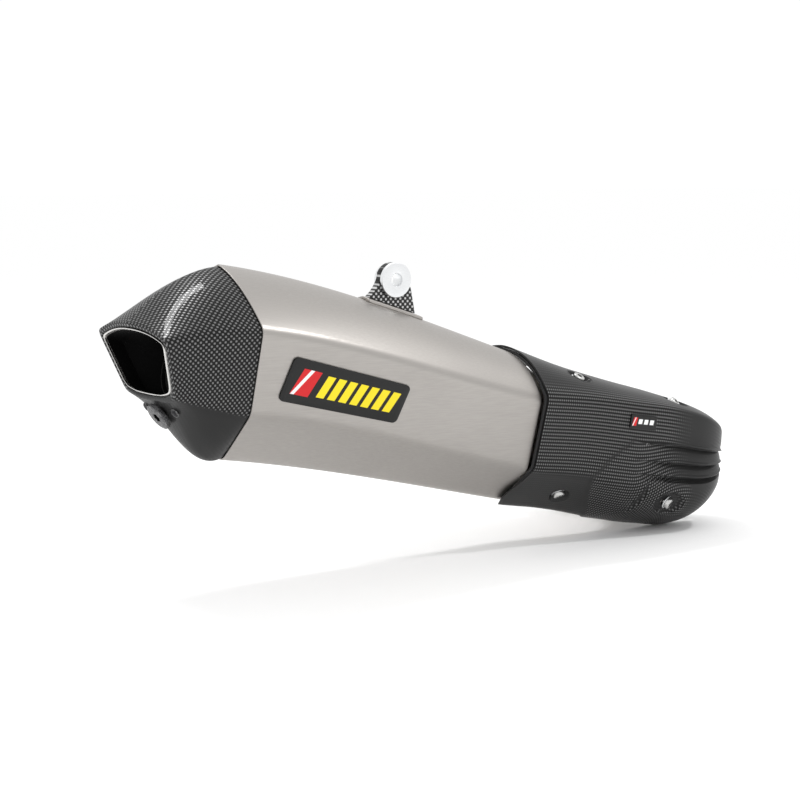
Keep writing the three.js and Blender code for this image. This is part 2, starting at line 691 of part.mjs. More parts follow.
const bracketFoot = () => {
  const stations = [100, 150, 200];
  const slab = block(
    new THREE.Vector3(FOOT.rear, -FOOT.half, 0),
    new THREE.Vector3(FOOT.front, FOOT.half, 80),
  );
  return slab
    .intersect(bodyLoft(stations, -GAP - FOOT.thickness))
    .subtract(bodyLoft(stations, -GAP));
};

const hangerBracket = () => {
  const shape = new THREE.Shape();
  shape.moveTo(124, 20);
  shape.lineTo(124.5, 41);
  shape.quadraticCurveTo(134, 46, 138.4, 58.6);
  shape.absarc(HANGER.x, HANGER.z, HANGER.boss, 2.82, 0.25, true);
  shape.quadraticCurveTo(166.5, 42, 170, 20);
  const plate = new THREE.ExtrudeGeometry(shape, {
    depth: HANGER.plate,
    bevelEnabled: false,
    curveSegments: 12,
  });
  plate.rotateX(Math.PI / 2).translate(0, HANGER.plate / 2, 0);
  return cut(
    solidOf(plate),
    rod(HANGER.bore, -10, 10, BUSH_POINT, Y, 28),
    bodyLoft([100, 150, 200], -GAP * 2 - FOOT.thickness),
  );
};

const hangerGrommet = () =>
  ring(BUSH.barrel + GAP, HANGER.bore - GAP, -HANGER.plate / 2, HANGER.plate / 2, BUSH_POINT, Y, 28);
const BUSH_SEAT = HANGER.plate / 2 + GAP;
const BUSH_FAR = BUSH_SEAT + 2.6;
const hangerBush = () =>
  turned(
    [
      [BUSH.bore, -BUSH_SEAT - BUSH.flangeThickness],
      [BUSH.flange, -BUSH_SEAT - BUSH.flangeThickness],
      [BUSH.flange, -BUSH_SEAT],
      [BUSH.barrel, -BUSH_SEAT],
      [BUSH.barrel, BUSH_FAR],
      [BUSH.bore, BUSH_FAR],
    ],
    BUSH_POINT,
    Y,
    32,
  );
const bushCollar = () => ring(BUSH.barrel + GAP, 12.4, BUSH_SEAT, BUSH_FAR, BUSH_POINT, Y, 28);

// ---------------------------------------------------------------- chin plug and rivets
const CHIN_S = 0.84;
const chinPoint = CAP.keel.getPoint(CHIN_S);
const chinTangent = CAP.keel.getTangent(CHIN_S);
const CHIN_NORMAL = new THREE.Vector3(chinTangent.z, 0, -chinTangent.x).normalize();
if (CHIN_NORMAL.x > 0) {
  CHIN_NORMAL.negate();
}
const PLUG = { radius: 10.6, height: 5, shank: 3, length: 12, rivetOut: 20.5, rivet: 3.7 };

const plug = () =>
  turned(
    [[0, -PLUG.length], [PLUG.shank, -PLUG.length], [PLUG.shank, 2], [PLUG.radius, 2],
      [PLUG.radius, PLUG.height - 1], [PLUG.radius - 1, PLUG.height], [0, PLUG.height]],
    chinPoint,
    CHIN_NORMAL,
    28,
  );
const plugSeal = () => ring(PLUG.shank + GAP, 8.4, 0.9, 1.7, chinPoint, CHIN_NORMAL, 24);
const plugNut = () =>
  cut(
    rod(6.4, -8.5, -3.8, chinPoint, CHIN_NORMAL, 6),
    rod(PLUG.shank + GAP, -10, 0, chinPoint, CHIN_NORMAL, 16),
  );

// The chin's surface at a distance out to one side, with its outward normal there.
const rivetPlace = (side) => {
  const half = halfSection({ round: 5, steps: FLAT_FLANK, ...capSection(CHIN_S) }).reverse();
  const i = half.findIndex((point) => point.y > PLUG.rivetOut);
  const share = (PLUG.rivetOut - half[i - 1].y) / (half[i].y - half[i - 1].y);
  const point = between(half[i - 1], half[i], share);
  const across = half[i].clone().sub(half[i - 1]);
  const axis = chinTangent.clone().cross(across).normalize();
  if (axis.x > 0) {
    axis.negate();
  }
  const mirror = new THREE.Vector3(1, side, 1);
  return { point: point.multiply(mirror), axis: axis.multiply(mirror) };
};
const chinRivet = (side) => {
  const { point, axis } = rivetPlace(side);
  return turned(
    [[0, -5.5], [3, -5.5], [3, -3.4], [1.9, -3.4], [1.9, 0.8], [PLUG.rivet, 0.8], [2.6, 2], [0, 2.5]],
    point,
    axis,
    16,
  );
};

// ---------------------------------------------------------------- badges
const prism = (corners, normalY) => {
  const shape = new THREE.Shape(corners.map(([x, z]) => new THREE.Vector2(x, z)));
  const geometry = new THREE.ExtrudeGeometry(shape, { depth: 60, bevelEnabled: false });
  return solidOf(geometry.rotateX(Math.PI / 2).translate(0, normalY, 0));
};
const sideBadge = () => {
  const stations = [0, 28, 62, 100, 150];
  const corners = [[19.4, -22.8], [28, 8.4], [129.5, -19.6], [121.7, -47.2]];
  const outline = prism(corners, -20);
  return outline
    .intersect(bodyLoft(stations, -GAP - BADGE_THICKNESS))
    .subtract(bodyLoft(stations, -GAP));
};
const guardBadge = () => {
  const corners = [[339, -66.5], [339, -55], [365, -59], [365, -70.5]];
  const outline = prism(corners, -20);
  return outline
    .intersect(guardLoft(-GAP - BADGE_THICKNESS, GUARD.rear, 0))
    .subtract(guardLoft(-GAP, GUARD.rear, 0));
};

const capWithHoles = () => {
  const holes = [-1, 1].map((side) => {
    const { point, axis } = rivetPlace(side);
    return rod(2.2, -8, 8, point, axis, 12);
  });
  return cut(endCap(), rod(PLUG.shank + GAP, -8, 6, chinPoint, CHIN_NORMAL, 16), ...holes);
};

// ---------------------------------------------------------------- assembly
const assembly = new THREE.Group();
assembly.position.set(-HANGER.x, 0, -HANGER.z);

const add = (name, solid, material) => {
  const mesh = new THREE.Mesh(geometryOf(solid), material);
  mesh.name = name;
  assembly.add(mesh);
};

add("outer_sleeve", sleeve(), TITANIUM);
add("end_cap", capWithHoles(), CARBON);
add("outlet_liner", outletLiner(), BRIGHT_TITANIUM);
add("core_tube", coreTube(), STEEL);
add("glass_packing", packing(), WOOL);
add("rear_bulkhead", bulkhead(4, 6), STEEL);
add("front_bulkhead", bodyLoft([243, 244.5], SLEEVE_WALL + GAP).subtract(boreHole(CORE_OUTER + GAP)), STEEL);
add("noise_damper", damper(), BLACK_STEEL);
add("front_cone", frontCone(), TITANIUM);
add("inlet_pipe", inletPipe(), BRIGHT_TITANIUM);
add("inlet_socket", inletSocket(), BRIGHT_TITANIUM);
add("clamp_band", clampBand(), STEEL);
add("clamp_bolt", clampBolt(), STEEL);
add("clamp_nut", clampNut(), STEEL);
add("heat_guard", heatGuard(), CARBON);
add("guard_edge_seal", edgeSeal(), RUBBER);
for (const fixing of FIXINGS) {
  add(`guard_screw_${fixing.name}`, screw(fixing), STEEL);
  add(`guard_washer_${fixing.name}`, washer(fixing), ALUMINIUM);
  add(`guard_post_${fixing.name}`, post(fixing), TITANIUM);
}
add("bracket_foot", bracketFoot(), BRIGHT_TITANIUM);
add("hanger_bracket", hangerBracket(), CARBON);
add("hanger_grommet", hangerGrommet(), RUBBER);
add("hanger_bush", hangerBush(), ALUMINIUM);
add("bush_collar", bushCollar(), ALUMINIUM);
add("damper_bolt", plug(), BLACK_STEEL);
add("damper_bolt_seal", plugSeal(), RUBBER);
add("damper_bolt_nut", plugNut(), STEEL);
add("chin_rivet_left", chinRivet(1), BLACK_STEEL);
add("chin_rivet_right", chinRivet(-1), BLACK_STEEL);
add("side_badge", sideBadge(), LABEL);
add("guard_badge", guardBadge(), LABEL);

export default assembly;
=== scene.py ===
# %% [markdown]
# # A racing silencer, piece by piece
# This file dresses a finished CAD model of a motorcycle silencer: a six-sided titanium canister
# with a woven carbon end cap at the rear and a gilled carbon heat guard over the inlet bend.
# The CAD model fixes every size and every joint. Blender makes the skins smooth, rounds the
# edges, rolls the lips and gives each piece its finish. One unit is a metre. +X runs forward,
# +Y to the left and +Z up, and the origin is the axis of the bush the silencer hangs from.

# %% Load the frame
import math

import bmesh
import bpy
from mathutils import Matrix, Vector


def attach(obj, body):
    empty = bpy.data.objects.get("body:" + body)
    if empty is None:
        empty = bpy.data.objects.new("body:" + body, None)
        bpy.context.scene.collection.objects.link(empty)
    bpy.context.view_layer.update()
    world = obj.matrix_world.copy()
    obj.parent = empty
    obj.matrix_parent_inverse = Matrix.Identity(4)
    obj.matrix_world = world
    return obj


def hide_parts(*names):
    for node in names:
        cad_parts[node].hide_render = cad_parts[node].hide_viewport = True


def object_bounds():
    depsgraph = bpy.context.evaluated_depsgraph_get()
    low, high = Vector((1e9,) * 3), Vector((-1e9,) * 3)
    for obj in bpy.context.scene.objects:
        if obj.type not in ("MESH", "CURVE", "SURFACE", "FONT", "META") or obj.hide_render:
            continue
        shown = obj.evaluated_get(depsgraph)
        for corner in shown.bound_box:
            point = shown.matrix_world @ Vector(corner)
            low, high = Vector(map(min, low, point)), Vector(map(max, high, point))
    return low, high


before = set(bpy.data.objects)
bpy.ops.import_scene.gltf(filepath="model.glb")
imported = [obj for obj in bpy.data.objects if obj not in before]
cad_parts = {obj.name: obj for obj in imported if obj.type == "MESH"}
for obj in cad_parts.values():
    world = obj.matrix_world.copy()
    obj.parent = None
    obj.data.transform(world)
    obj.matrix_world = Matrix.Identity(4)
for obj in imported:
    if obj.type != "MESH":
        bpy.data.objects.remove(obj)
cad_low, cad_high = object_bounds()
print("CAD box in mm:", [round(v * 1000, 1) for v in (*cad_low, *cad_high)])

# %% [markdown]
# ## Driving dimensions
# The canister was drawn from the middle of the seam between end cap and sleeve, in millimetres.
# We keep those drawing numbers and convert each finished point once, with `at()`. Walls, gaps
# and lips are named here because several pieces share them.

# %% Dimensions and the drawing's own frame
MM = 0.001
HANGER = Vector((149.8, 0.0, 54.4))
PITCH = math.radians(13.8)
BORE = Vector((math.cos(PITCH), 0.0, -math.sin(PITCH)))
BORE_UP = Vector((math.sin(PITCH), 0.0, math.cos(PITCH)))
OUTLET = Vector((-62.7, 0.0, 4.75))
OUTLET_UP = Vector((-0.313, 0.0, 0.95))
SLEEVE_LENGTH = 253.0
SLEEVE_WALL = 1.2
CAP_TONGUE = 9.0
STAND_IN = 1.5
CAP_WALL = 2.2
LIP = 4.6
GUARD_REAR = 255.0
GUARD_NOSE = 411.0
GUARD_RADIUS = 60.0
GUARD_WALL = 1.3
GUARD_FAR_EDGE = 26.0


def at(point):
    """A drawing point in millimetres, as a point of the scene in metres."""
    return (Vector(point) - HANGER) * MM


def mix(a, b, share):
    return a + (b - a) * share


def smooth(low, high, value):
    share = min(max((value - low) / (high - low), 0.0), 1.0)
    return share * share * (3 - 2 * share)


print("hanger bush sits at", at(HANGER))

# %% [markdown]
# ## Cross sections
# The canister is a loft: one closed outline that changes slowly along the length. On a press
# brake it would be six folds in a sheet. Half of the outline runs down one side as roof,
# upper ridge, flank, lower ridge, belly and keel. Roof and belly are gentle curves, the ridges
# are small rounds, and the other half is its mirror image. Each point also remembers how far
# it lies from the upper ridge, measured round the skin, because the woven cloth and the brushed
# grain follow the surface and not the air around it.


# %% Curves that make a half section
def bezier(points, t):
    """A point on a quadratic or cubic curve."""
    layer = [Vector(p) for p in points]
    while len(layer) > 1:
        layer = [mix(a, b, t) for a, b in zip(layer, layer[1:])]
    return layer[0]


def bezier_run(points, count, start=0.0, end=1.0):
    return [bezier(points, mix(start, end, i / (count - 1))) for i in range(count)]


def curve_length(points):
    run = bezier_run(points, 24)
    return sum((b - a).length for a, b in zip(run, run[1:]))


def half_section(s):
    """Points down the +Y side, from the spine to the keel, and the index of the upper ridge."""
    spine, ridge, chine, keel = s["spine"], s["ridge"], s["chine"], s["keel"]
    out, up = s["roof"]
    roof_knee = Vector((mix(spine.x, ridge.x, 0.5), ridge.y * out, mix(ridge.z, spine.z, up)))
    out, up = s["belly"]
    belly_knee = Vector((mix(keel.x, chine.x, 0.5), chine.y * out, mix(chine.z, keel.z, up)))
    roof = (spine, roof_knee, ridge)
    belly = (chine, belly_knee, keel)
    ridge_round = s.get("round", 5.0)
    keel_round = s.get("keel_round", 9.0)
    detail = s.get("detail", 1)
    flank = (chine - ridge).length
    flank_top = mix(ridge, chine, ridge_round / flank)
    flank_foot = mix(chine, ridge, ridge_round / flank)
    roof_end = 1 - ridge_round / curve_length(roof)
    belly_start = ridge_round / curve_length(belly)
    belly_end = 1 - keel_round / curve_length(belly)
    keel_edge = bezier(belly, belly_end)
    keel_far = Vector((keel_edge.x, -keel_edge.y, keel_edge.z))
    points = bezier_run(roof, 13 * detail + 1, 0.0, roof_end)
    points += bezier_run((points[-1], ridge, flank_top), 9)[1:]
    ridge_index = 13 * detail + 4
    down = (chine - ridge).normalized()
    outward = Vector((0.0, -down.z, down.y))
    for share, step in s.get("steps", [(i / 12, 0.0) for i in range(1, 12)]):
        points.append(mix(flank_top, flank_foot, share) + outward * step)
    points += bezier_run((flank_foot, chine, bezier(belly, belly_start)), 9)
    points += bezier_run(belly, 9 * detail + 1, belly_start, belly_end)[1:]
    points += bezier_run((keel_edge, keel, keel_far), 13)[1:7]
    return points, ridge_index


def ring(s, along):
    """A closed outline as (point, distance along, distance round) triples."""
    half, ridge_index = half_section(s)
    girth = [0.0]
    for a, b in zip(half, half[1:]):
        girth.append(girth[-1] + (b - a).length)
    girth = [g - girth[ridge_index] for g in girth]
    left = [(p, along, g) for p, g in zip(half, girth)]
    right = [(Vector((p.x, -p.y, p.z)), along, g) for p, along, g in left[-2:0:-1]]
    return left + right


def inset(outline, distance):
    """Moves an outline inward, in its own plane."""
    points = [p for p, *_ in outline]
    count = len(points)
    centre = sum(points, Vector()) / count
    normal = Vector()
    for i in range(count):
        normal += (points[i] - centre).cross(points[(i + 1) % count] - centre)
    normal.normalize()
    moved = []
    for i, (point, along, girth) in enumerate(outline):
        before = (point - points[i - 1]).normalized()
        after = (points[(i + 1) % count] - point).normalized()
        tangent = (before + after).normalized()
        stretch = min(1 / max(tangent.dot(before), 0.6), 1.5)
        moved.append((point + normal.cross(tangent).normalized() * distance * stretch, along, girth))
    return moved


print("section helpers ready")


# %% [markdown]
# ## From outlines to a skin
# `skin()` lays each outline into a bmesh as a ring of edges and lets the bridge operator build
# the faces between neighbours, the way a hull is planked over its frames. The two distances
# of each point go into the UV map in metres, so a 2 mm weave really is 2 mm. A third value is
# a mask of painted light and shade: it says how strongly the weave's painted glint shows.


# %% Bridge rings into a skin
def lay_ring(bm, outline, layers, weave_and_shade=1.0):
    verts = []
    for point, along, girth in outline:
        vert = bm.verts.new(at(point))
        vert[layers["along"]] = along * MM
        vert[layers["girth"]] = girth * MM
        vert[layers["weave_and_shade"]] = weave_and_shade if isinstance(weave_and_shade, float) else weave_and_shade(girth, point, along)
        verts.append(vert)
    return [bm.edges.new((a, b)) for a, b in zip(verts, verts[1:] + verts[:1])]


def new_skin():
    bm = bmesh.new()
    layers = {name: bm.verts.layers.float.new(name) for name in ("along", "girth", "weave_and_shade")}
    return bm, layers


def skin(outlines, closes=False, weave_and_shade=1.0):
    bm, layers = new_skin()
    loops = [lay_ring(bm, outline, layers, weave_and_shade) for outline in outlines]
    spans = list(zip(loops, loops[1:]))
    if closes:
        spans.append((loops[-1], loops[0]))
    for first, second in spans:
        bmesh.ops.bridge_loops(bm, edges=first + second)
    return bm


def write_uv(bm):
    """Copies the two stored distances into the UV map."""
    along = bm.verts.layers.float.get("along")
    girth = bm.verts.layers.float.get("girth")
    if along is None:
        return
    uv = bm.loops.layers.uv.new("UVMap")
    for face in bm.faces:
        for loop in face.loops:
            loop[uv].uv = (loop.vert[along], loop.vert[girth])


def sharpen(bm, degrees):
    """Marks every edge that turns more than this as sharp, so shading breaks there."""
    limit = math.radians(degrees)
    for edge in bm.edges:
        edge.smooth = len(edge.link_faces) == 2 and edge.calc_face_angle(0.0) < limit


def piece(name, bm, material, body, replaces=(), sharp=35.0):
    """Turns a bmesh into a finished piece that rides on a body of the frame."""
    bmesh.ops.remove_doubles(bm, verts=bm.verts, dist=1e-6)
    bmesh.ops.recalc_face_normals(bm, faces=bm.faces)
    sharpen(bm, sharp)
    write_uv(bm)
    mesh = bpy.data.meshes.new(name)
    for face in bm.faces:
        face.smooth = True
    bm.to_mesh(mesh)
    bm.free()
    made = bpy.data.objects.new(name, mesh)
    bpy.context.scene.collection.objects.link(made)
    mesh.materials.append(material)
    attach(made, body)
    if replaces:
        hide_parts(*replaces)
    print(f"{name}: {len(mesh.polygons)} faces")
    return made


print("skin helpers ready")

# %% [markdown]
# ## Node helpers
# A material is a small graph. `wire()` adds one node and plugs in whatever feeds it, and
# `calc()` is the same for plain arithmetic, so that each recipe below reads like a formula.


# %% Node helpers
def wire(tree, kind, inputs=None, **settings):
    node = tree.nodes.new(kind)
    for key, value in settings.items():
        setattr(node, key, value)
    for key, value in (inputs or {}).items():
        if isinstance(value, bpy.types.NodeSocket):
            tree.links.new(value, node.inputs[key])
        else:
            node.inputs[key].default_value = value
    return node


def calc(tree, operation, *values):
    return wire(tree, "ShaderNodeMath", dict(enumerate(values)), operation=operation).outputs[0]


def span(tree, value, low, high, to_low=0.0, to_high=1.0):
    """Rescales a value from one range to another, smoothly and clamped."""
    inputs = {"Value": value, "From Min": low, "From Max": high, "To Min": to_low, "To Max": to_high}
    return wire(tree, "ShaderNodeMapRange", inputs, interpolation_type="SMOOTHSTEP").outputs[0]


def blend_values(tree, share, a, b):
    return wire(tree, "ShaderNodeMix", {0: share, 2: a, 3: b}, data_type="FLOAT").outputs[0]


def blend_colours(tree, share, a, b):
    return wire(tree, "ShaderNodeMix", {0: share, 6: a, 7: b}, data_type="RGBA").outputs[2]


def grey(value):
    return (value, value, value, 1.0)


def recipe(name, inputs, outputs):
    """Starts a reusable node group with the given sockets, each a (label, kind) pair."""
    tree = bpy.data.node_groups.new(name, "ShaderNodeTree")
    for label, kind in inputs:
        tree.interface.new_socket(label, in_out="INPUT", socket_type="NodeSocket" + kind)
    for label, kind in outputs:
        tree.interface.new_socket(label, in_out="OUTPUT", socket_type="NodeSocket" + kind)
    return tree, tree.nodes.new("NodeGroupInput").outputs, tree.nodes.new("NodeGroupOutput").inputs


def use(tree, name, **inputs):
    """Adds a reusable group to a material and returns its outputs."""
    node = tree.nodes.new("ShaderNodeGroup")
    node.node_tree = bpy.data.node_groups[name]
    for key, value in inputs.items():
        if isinstance(value, bpy.types.NodeSocket):
            tree.links.new(value, node.inputs[key])
        else:
            node.inputs[key].default_value = value
    return node.outputs


def new_material(name, **constants):
    made = bpy.data.materials.new(name)
    made.use_nodes = True
    surface = made.node_tree.nodes["Principled BSDF"]
    for key, value in constants.items():
        surface.inputs[key.replace("_", " ")].default_value = value
    return made, made.node_tree, surface


print("node helpers ready")

# %% [markdown]
# ## Plain weave
# Carbon cloth is woven like a basket: at every crossing one tow lies over the other. Cut the
# UV map into squares one tow wide and the squares alternate like a chessboard. In each square
# the tow on top is a low cushion, and fine streaks run along its fibres. Light catches one
# direction more than the other, which is why the cloth looks like pale dots on black. Here that
# sheen is painted into the colour: the tows on top get pale dots and the others stay nearly
# black, a painted highlight.

# %% The weave group
tree, given, result = recipe(
    "Plain weave",
    [("Vector", "Vector"), ("Tow", "Float")],
    [("Painted sheen", "Float"), ("Height", "Float"), ("Over", "Float")],
)
axes = wire(tree, "ShaderNodeSeparateXYZ", {0: given["Vector"]}).outputs
along = calc(tree, "DIVIDE", axes[0], given["Tow"])
across = calc(tree, "DIVIDE", axes[1], given["Tow"])
squares = calc(tree, "ADD", calc(tree, "FLOOR", along), calc(tree, "FLOOR", across))
over = calc(tree, "FLOORED_MODULO", squares, 2.0)
arch_along = calc(tree, "SINE", calc(tree, "MULTIPLY", calc(tree, "FRACT", along), math.pi))
arch_across = calc(tree, "SINE", calc(tree, "MULTIPLY", calc(tree, "FRACT", across), math.pi))


def cushion(width_arch, length_arch):
    crown = calc(tree, "MULTIPLY_ADD", length_arch, 0.5, 0.5)
    return calc(tree, "MULTIPLY", calc(tree, "POWER", width_arch, 0.55), crown)


def fibres(stretch_along, stretch_across):
    stretched = {0: calc(tree, "MULTIPLY", along, stretch_along)}
    stretched[1] = calc(tree, "MULTIPLY", across, stretch_across)
    inputs = {"Vector": wire(tree, "ShaderNodeCombineXYZ", stretched).outputs[0], "Scale": 1.0}
    return wire(tree, "ShaderNodeTexNoise", inputs, noise_dimensions="2D").outputs[0]


height = blend_values(tree, over, cushion(arch_across, arch_along), cushion(arch_along, arch_across))
streak = blend_values(tree, over, fibres(0.8, 16.0), fibres(16.0, 0.8))
# painted sheen: each tow on top carries a pale dot, the tows beneath stay nearly black
dot = calc(tree, "POWER", calc(tree, "MULTIPLY", arch_along, arch_across), 0.9)
lit = blend_values(tree, over, calc(tree, "MULTIPLY", height, 0.05), dot)
tree.links.new(calc(tree, "MULTIPLY", lit, calc(tree, "MULTIPLY_ADD", streak, 0.8, 0.6)), result["Painted sheen"])
tree.links.new(height, result["Height"])
tree.links.new(over, result["Over"])
print("weave group:", len(tree.nodes), "nodes")

# %% [markdown]
# ## Grain, smudges, edge wear
# Three more effects are shared. Brushed grain is noise stretched a hundred times along one
# axis. Smudges are the broad, faint marks of hands and polish that break up a perfect
# reflection. Edge wear finds where a surface turns sharply and polishes it there.

# %% The grain, smudge and wear groups
tree, given, result = recipe(
    "Brushed grain",
    [("Vector", "Vector"), ("Fineness", "Float"), ("Stretch", "Float")],
    [("Grain", "Float"), ("Height", "Float")],
)
axes = wire(tree, "ShaderNodeSeparateXYZ", {0: given["Vector"]}).outputs
slow = calc(tree, "DIVIDE", given["Fineness"], given["Stretch"])
place = wire(
    tree,
    "ShaderNodeCombineXYZ",
    {
        0: calc(tree, "MULTIPLY", axes[0], slow),
        1: calc(tree, "MULTIPLY", axes[1], given["Fineness"]),
        2: calc(tree, "MULTIPLY", axes[2], given["Fineness"]),
    },
)
noise = wire(tree, "ShaderNodeTexNoise", {"Vector": place.outputs[0], "Scale": 1.0, "Detail": 3.0})
tree.links.new(span(tree, noise.outputs[0], 0.25, 0.75), result["Grain"])
tree.links.new(noise.outputs[0], result["Height"])

tree, given, result = recipe("Smudges", [("Vector", "Vector"), ("Size", "Float")], [("Mask", "Float")])
scale = calc(tree, "DIVIDE", 1.0, given["Size"])
inputs = {"Vector": given["Vector"], "Scale": scale, "Detail": 4.0, "Distortion": 0.6}
broad = wire(tree, "ShaderNodeTexNoise", inputs)
tree.links.new(span(tree, broad.outputs[0], 0.35, 0.7), result["Mask"])

tree, given, result = recipe("Edge wear", [("Vector", "Vector")], [("Mask", "Float")])
pointed = wire(tree, "ShaderNodeNewGeometry").outputs["Pointiness"]
inputs = {"Vector": given["Vector"], "Scale": 900.0, "Detail": 3.0}
chips = wire(tree, "ShaderNodeTexNoise", inputs).outputs[0]
edge = calc(tree, "MULTIPLY", span(tree, pointed, 0.53, 0.62), span(tree, chips, 0.35, 0.6))
tree.links.new(edge, result["Mask"])
print("groups:", [group.name for group in bpy.data.node_groups])

# %% [markdown]
# ## Carbon finishes
# The cloth lies under a clear lacquer, so the material has two surfaces: a bumpy, dark
# weave and a smooth coat above it that carries the sharp highlights. A per-point mask of
# painted light and shade fades the weave's painted glint to flat satin grey where the fibres
# catch no light, and dims creases and dishes as painted shade. Three cuts are used: square to
# the axis on the end cap, turned 45 degrees and drawn close on the guard, bold on the hanger.


# %% Carbon
LACQUER = {"Coat_Weight": 0.14, "Coat_Roughness": 0.03, "Coat_IOR": 1.5, "Specular_IOR_Level": 0.05}


def carbon(name, tow, turn, sheen_grey, dark, plain=0.012, stretch=1.0, gloss=0.35):
    made, tree, surface = new_material(name, **LACQUER)
    uv = wire(tree, "ShaderNodeUVMap", uv_map="UVMap").outputs[0]
    lay = {0: uv, "Rotation": (0.0, 0.0, turn), "Scale": (stretch, 1.0, 1.0)}
    turned = wire(tree, "ShaderNodeMapping", lay).outputs[0]
    weave = use(tree, "Plain weave", Vector=turned, Tow=tow)
    weave_and_shade = wire(tree, "ShaderNodeAttribute", attribute_name="weave_and_shade").outputs["Fac"]
    spot = wire(tree, "ShaderNodeTexCoord").outputs["Object"]
    smudge = use(tree, "Smudges", Vector=spot, Size=0.06)["Mask"]
    # painted sheen and shade: pale dots where the tows catch light, flat satin grey where the mask marks no
    # light, creases or dishes
    woven = blend_colours(tree, weave["Painted sheen"], dark, sheen_grey)
    tree.links.new(blend_colours(tree, weave_and_shade, grey(plain), woven), surface.inputs["Base Color"])
    shine = calc(tree, "MULTIPLY_ADD", weave["Over"], -0.1, gloss + 0.1)
    worn = calc(tree, "MULTIPLY_ADD", smudge, 0.05, shine)
    tree.links.new(worn, surface.inputs["Roughness"])
    metallic = calc(tree, "MULTIPLY", calc(tree, "MULTIPLY", weave["Painted sheen"], weave_and_shade), 0.75)
    tree.links.new(metallic, surface.inputs["Metallic"])
    height = calc(tree, "MULTIPLY", weave["Height"], weave_and_shade)
    bump = wire(tree, "ShaderNodeBump", {"Height": height, "Strength": 0.5, "Distance": 0.0002})
    tree.links.new(bump.outputs[0], surface.inputs["Normal"])
    return made


QUARTER = math.radians(45)
CAP_CARBON = carbon("Cap carbon", 0.0021, 0.0, grey(0.22), grey(0.0015), 0.026)
GUARD_CARBON = carbon("Guard carbon", 0.002, QUARTER, grey(0.2), grey(0.0015), 0.03, 1.38)
HANGER_CARBON = carbon("Hanger carbon", 0.0022, 0.0, grey(0.7), grey(0.003))
print("carbon finishes ready")

# %% [markdown]
# ## Metals, rubber and wool
# One function covers the metals, because they only differ in colour, roughness and the
# size of their grain. Titanium near a weld takes a straw tint from the heat, so the cone and
# the inlet pipe mix in a second colour along their length. The damper is black, soot together
# with painted shade, and so is the outlet liner just behind its rim, where the black is painted
# shade for the dark inside of the mouth: its UV map holds the depth inside the mouth.


# %% Metals
STRAW = (0.42, 0.27, 0.15, 1.0)


def metal(
    name, colour, roughness, fineness=900.0, stretch=60.0, streak=0.12, wear=0.0, tint=None, soot_and_shade=None
):
    made, tree, surface = new_material(name, Metallic=1.0)
    spot = wire(tree, "ShaderNodeTexCoord").outputs["Object"]
    grain = use(tree, "Brushed grain", Vector=spot, Fineness=fineness, Stretch=stretch)
    smudge = use(tree, "Smudges", Vector=spot, Size=0.09)["Mask"]
    darker = tuple(c * (1 - streak) for c in colour[:3]) + (1.0,)
    shade = blend_colours(tree, grain["Grain"], colour, darker)
    rough = calc(tree, "MULTIPLY_ADD", grain["Grain"], 0.1, roughness)
    rough = calc(tree, "MULTIPLY_ADD", smudge, 0.07, rough)
    if wear:
        worn = use(tree, "Edge wear", Vector=spot)["Mask"]
        shade = blend_colours(tree, calc(tree, "MULTIPLY", worn, wear), shade, grey(0.75))
    if tint:
        shade = blend_colours(tree, calc(tree, "MULTIPLY", tint(tree, spot), smudge), shade, STRAW)
    # soot together with painted shade: the liner goes black just behind the rim, as the deep mouth looks in
    # shade
    if soot_and_shade:
        uv = wire(tree, "ShaderNodeUVMap", uv_map="UVMap").outputs[0]
        depth = wire(tree, "ShaderNodeSeparateXYZ", {0: uv}).outputs[0]
        inner_soot_shade = span(tree, depth, *soot_and_shade)
        shade = blend_colours(tree, inner_soot_shade, shade, grey(0.01))
        rough = blend_values(tree, inner_soot_shade, rough, 0.85)
    tree.links.new(shade, surface.inputs["Base Color"])
    tree.links.new(rough, surface.inputs["Roughness"])
    bump = wire(tree, "ShaderNodeBump", {"Height": grain["Height"], "Strength": 0.12, "Distance": 0.00015})
    tree.links.new(bump.outputs[0], surface.inputs["Normal"])
    return made


def near_weld(tree, spot):
    """Strongest where the cone meets the pipe, fading both ways."""
    forward = wire(tree, "ShaderNodeSeparateXYZ", {0: spot}).outputs[0]
    away = calc(tree, "ABSOLUTE", calc(tree, "SUBTRACT", forward, 0.184))
    return span(tree, away, 0.06, 0.0)


TITANIUM = metal("Satin titanium", (0.4, 0.38, 0.36, 1.0), 0.34, 1500.0, 45.0, 0.06)
TINTED = metal("Heat tinted titanium", (0.5, 0.46, 0.42, 1.0), 0.28, 1200.0, 30.0, 0.1, tint=near_weld)
WELD = metal("Weld bead", (0.42, 0.4, 0.43, 1.0), 0.3, 700.0, 1.0, 0.3)
LINER_METAL = metal("Outlet liner", (0.7, 0.69, 0.67, 1.0), 0.22, soot_and_shade=(0.0002, 0.0018))
STEEL = metal("Polished steel", (0.62, 0.62, 0.61, 1.0), 0.2, 1200.0, 8.0, 0.1)
BLACK_STEEL = metal("Blackened steel", (0.03, 0.03, 0.032, 1.0), 0.34, 900.0, 2.0, 0.2, wear=0.4)
# black for soot together with painted shade: the damper and core deep in the bore are kept this dark so the
# bore reads as shade
SOOT_AND_SHADE_STEEL = metal("Soot and shade black steel", (0.05, 0.048, 0.045, 1.0), 0.6, 500.0, 2.0, 0.4)
ALUMINIUM = metal("Turned aluminium", (0.82, 0.83, 0.84, 1.0), 0.26, 1500.0, 3.0, 0.06)
print("metals ready")


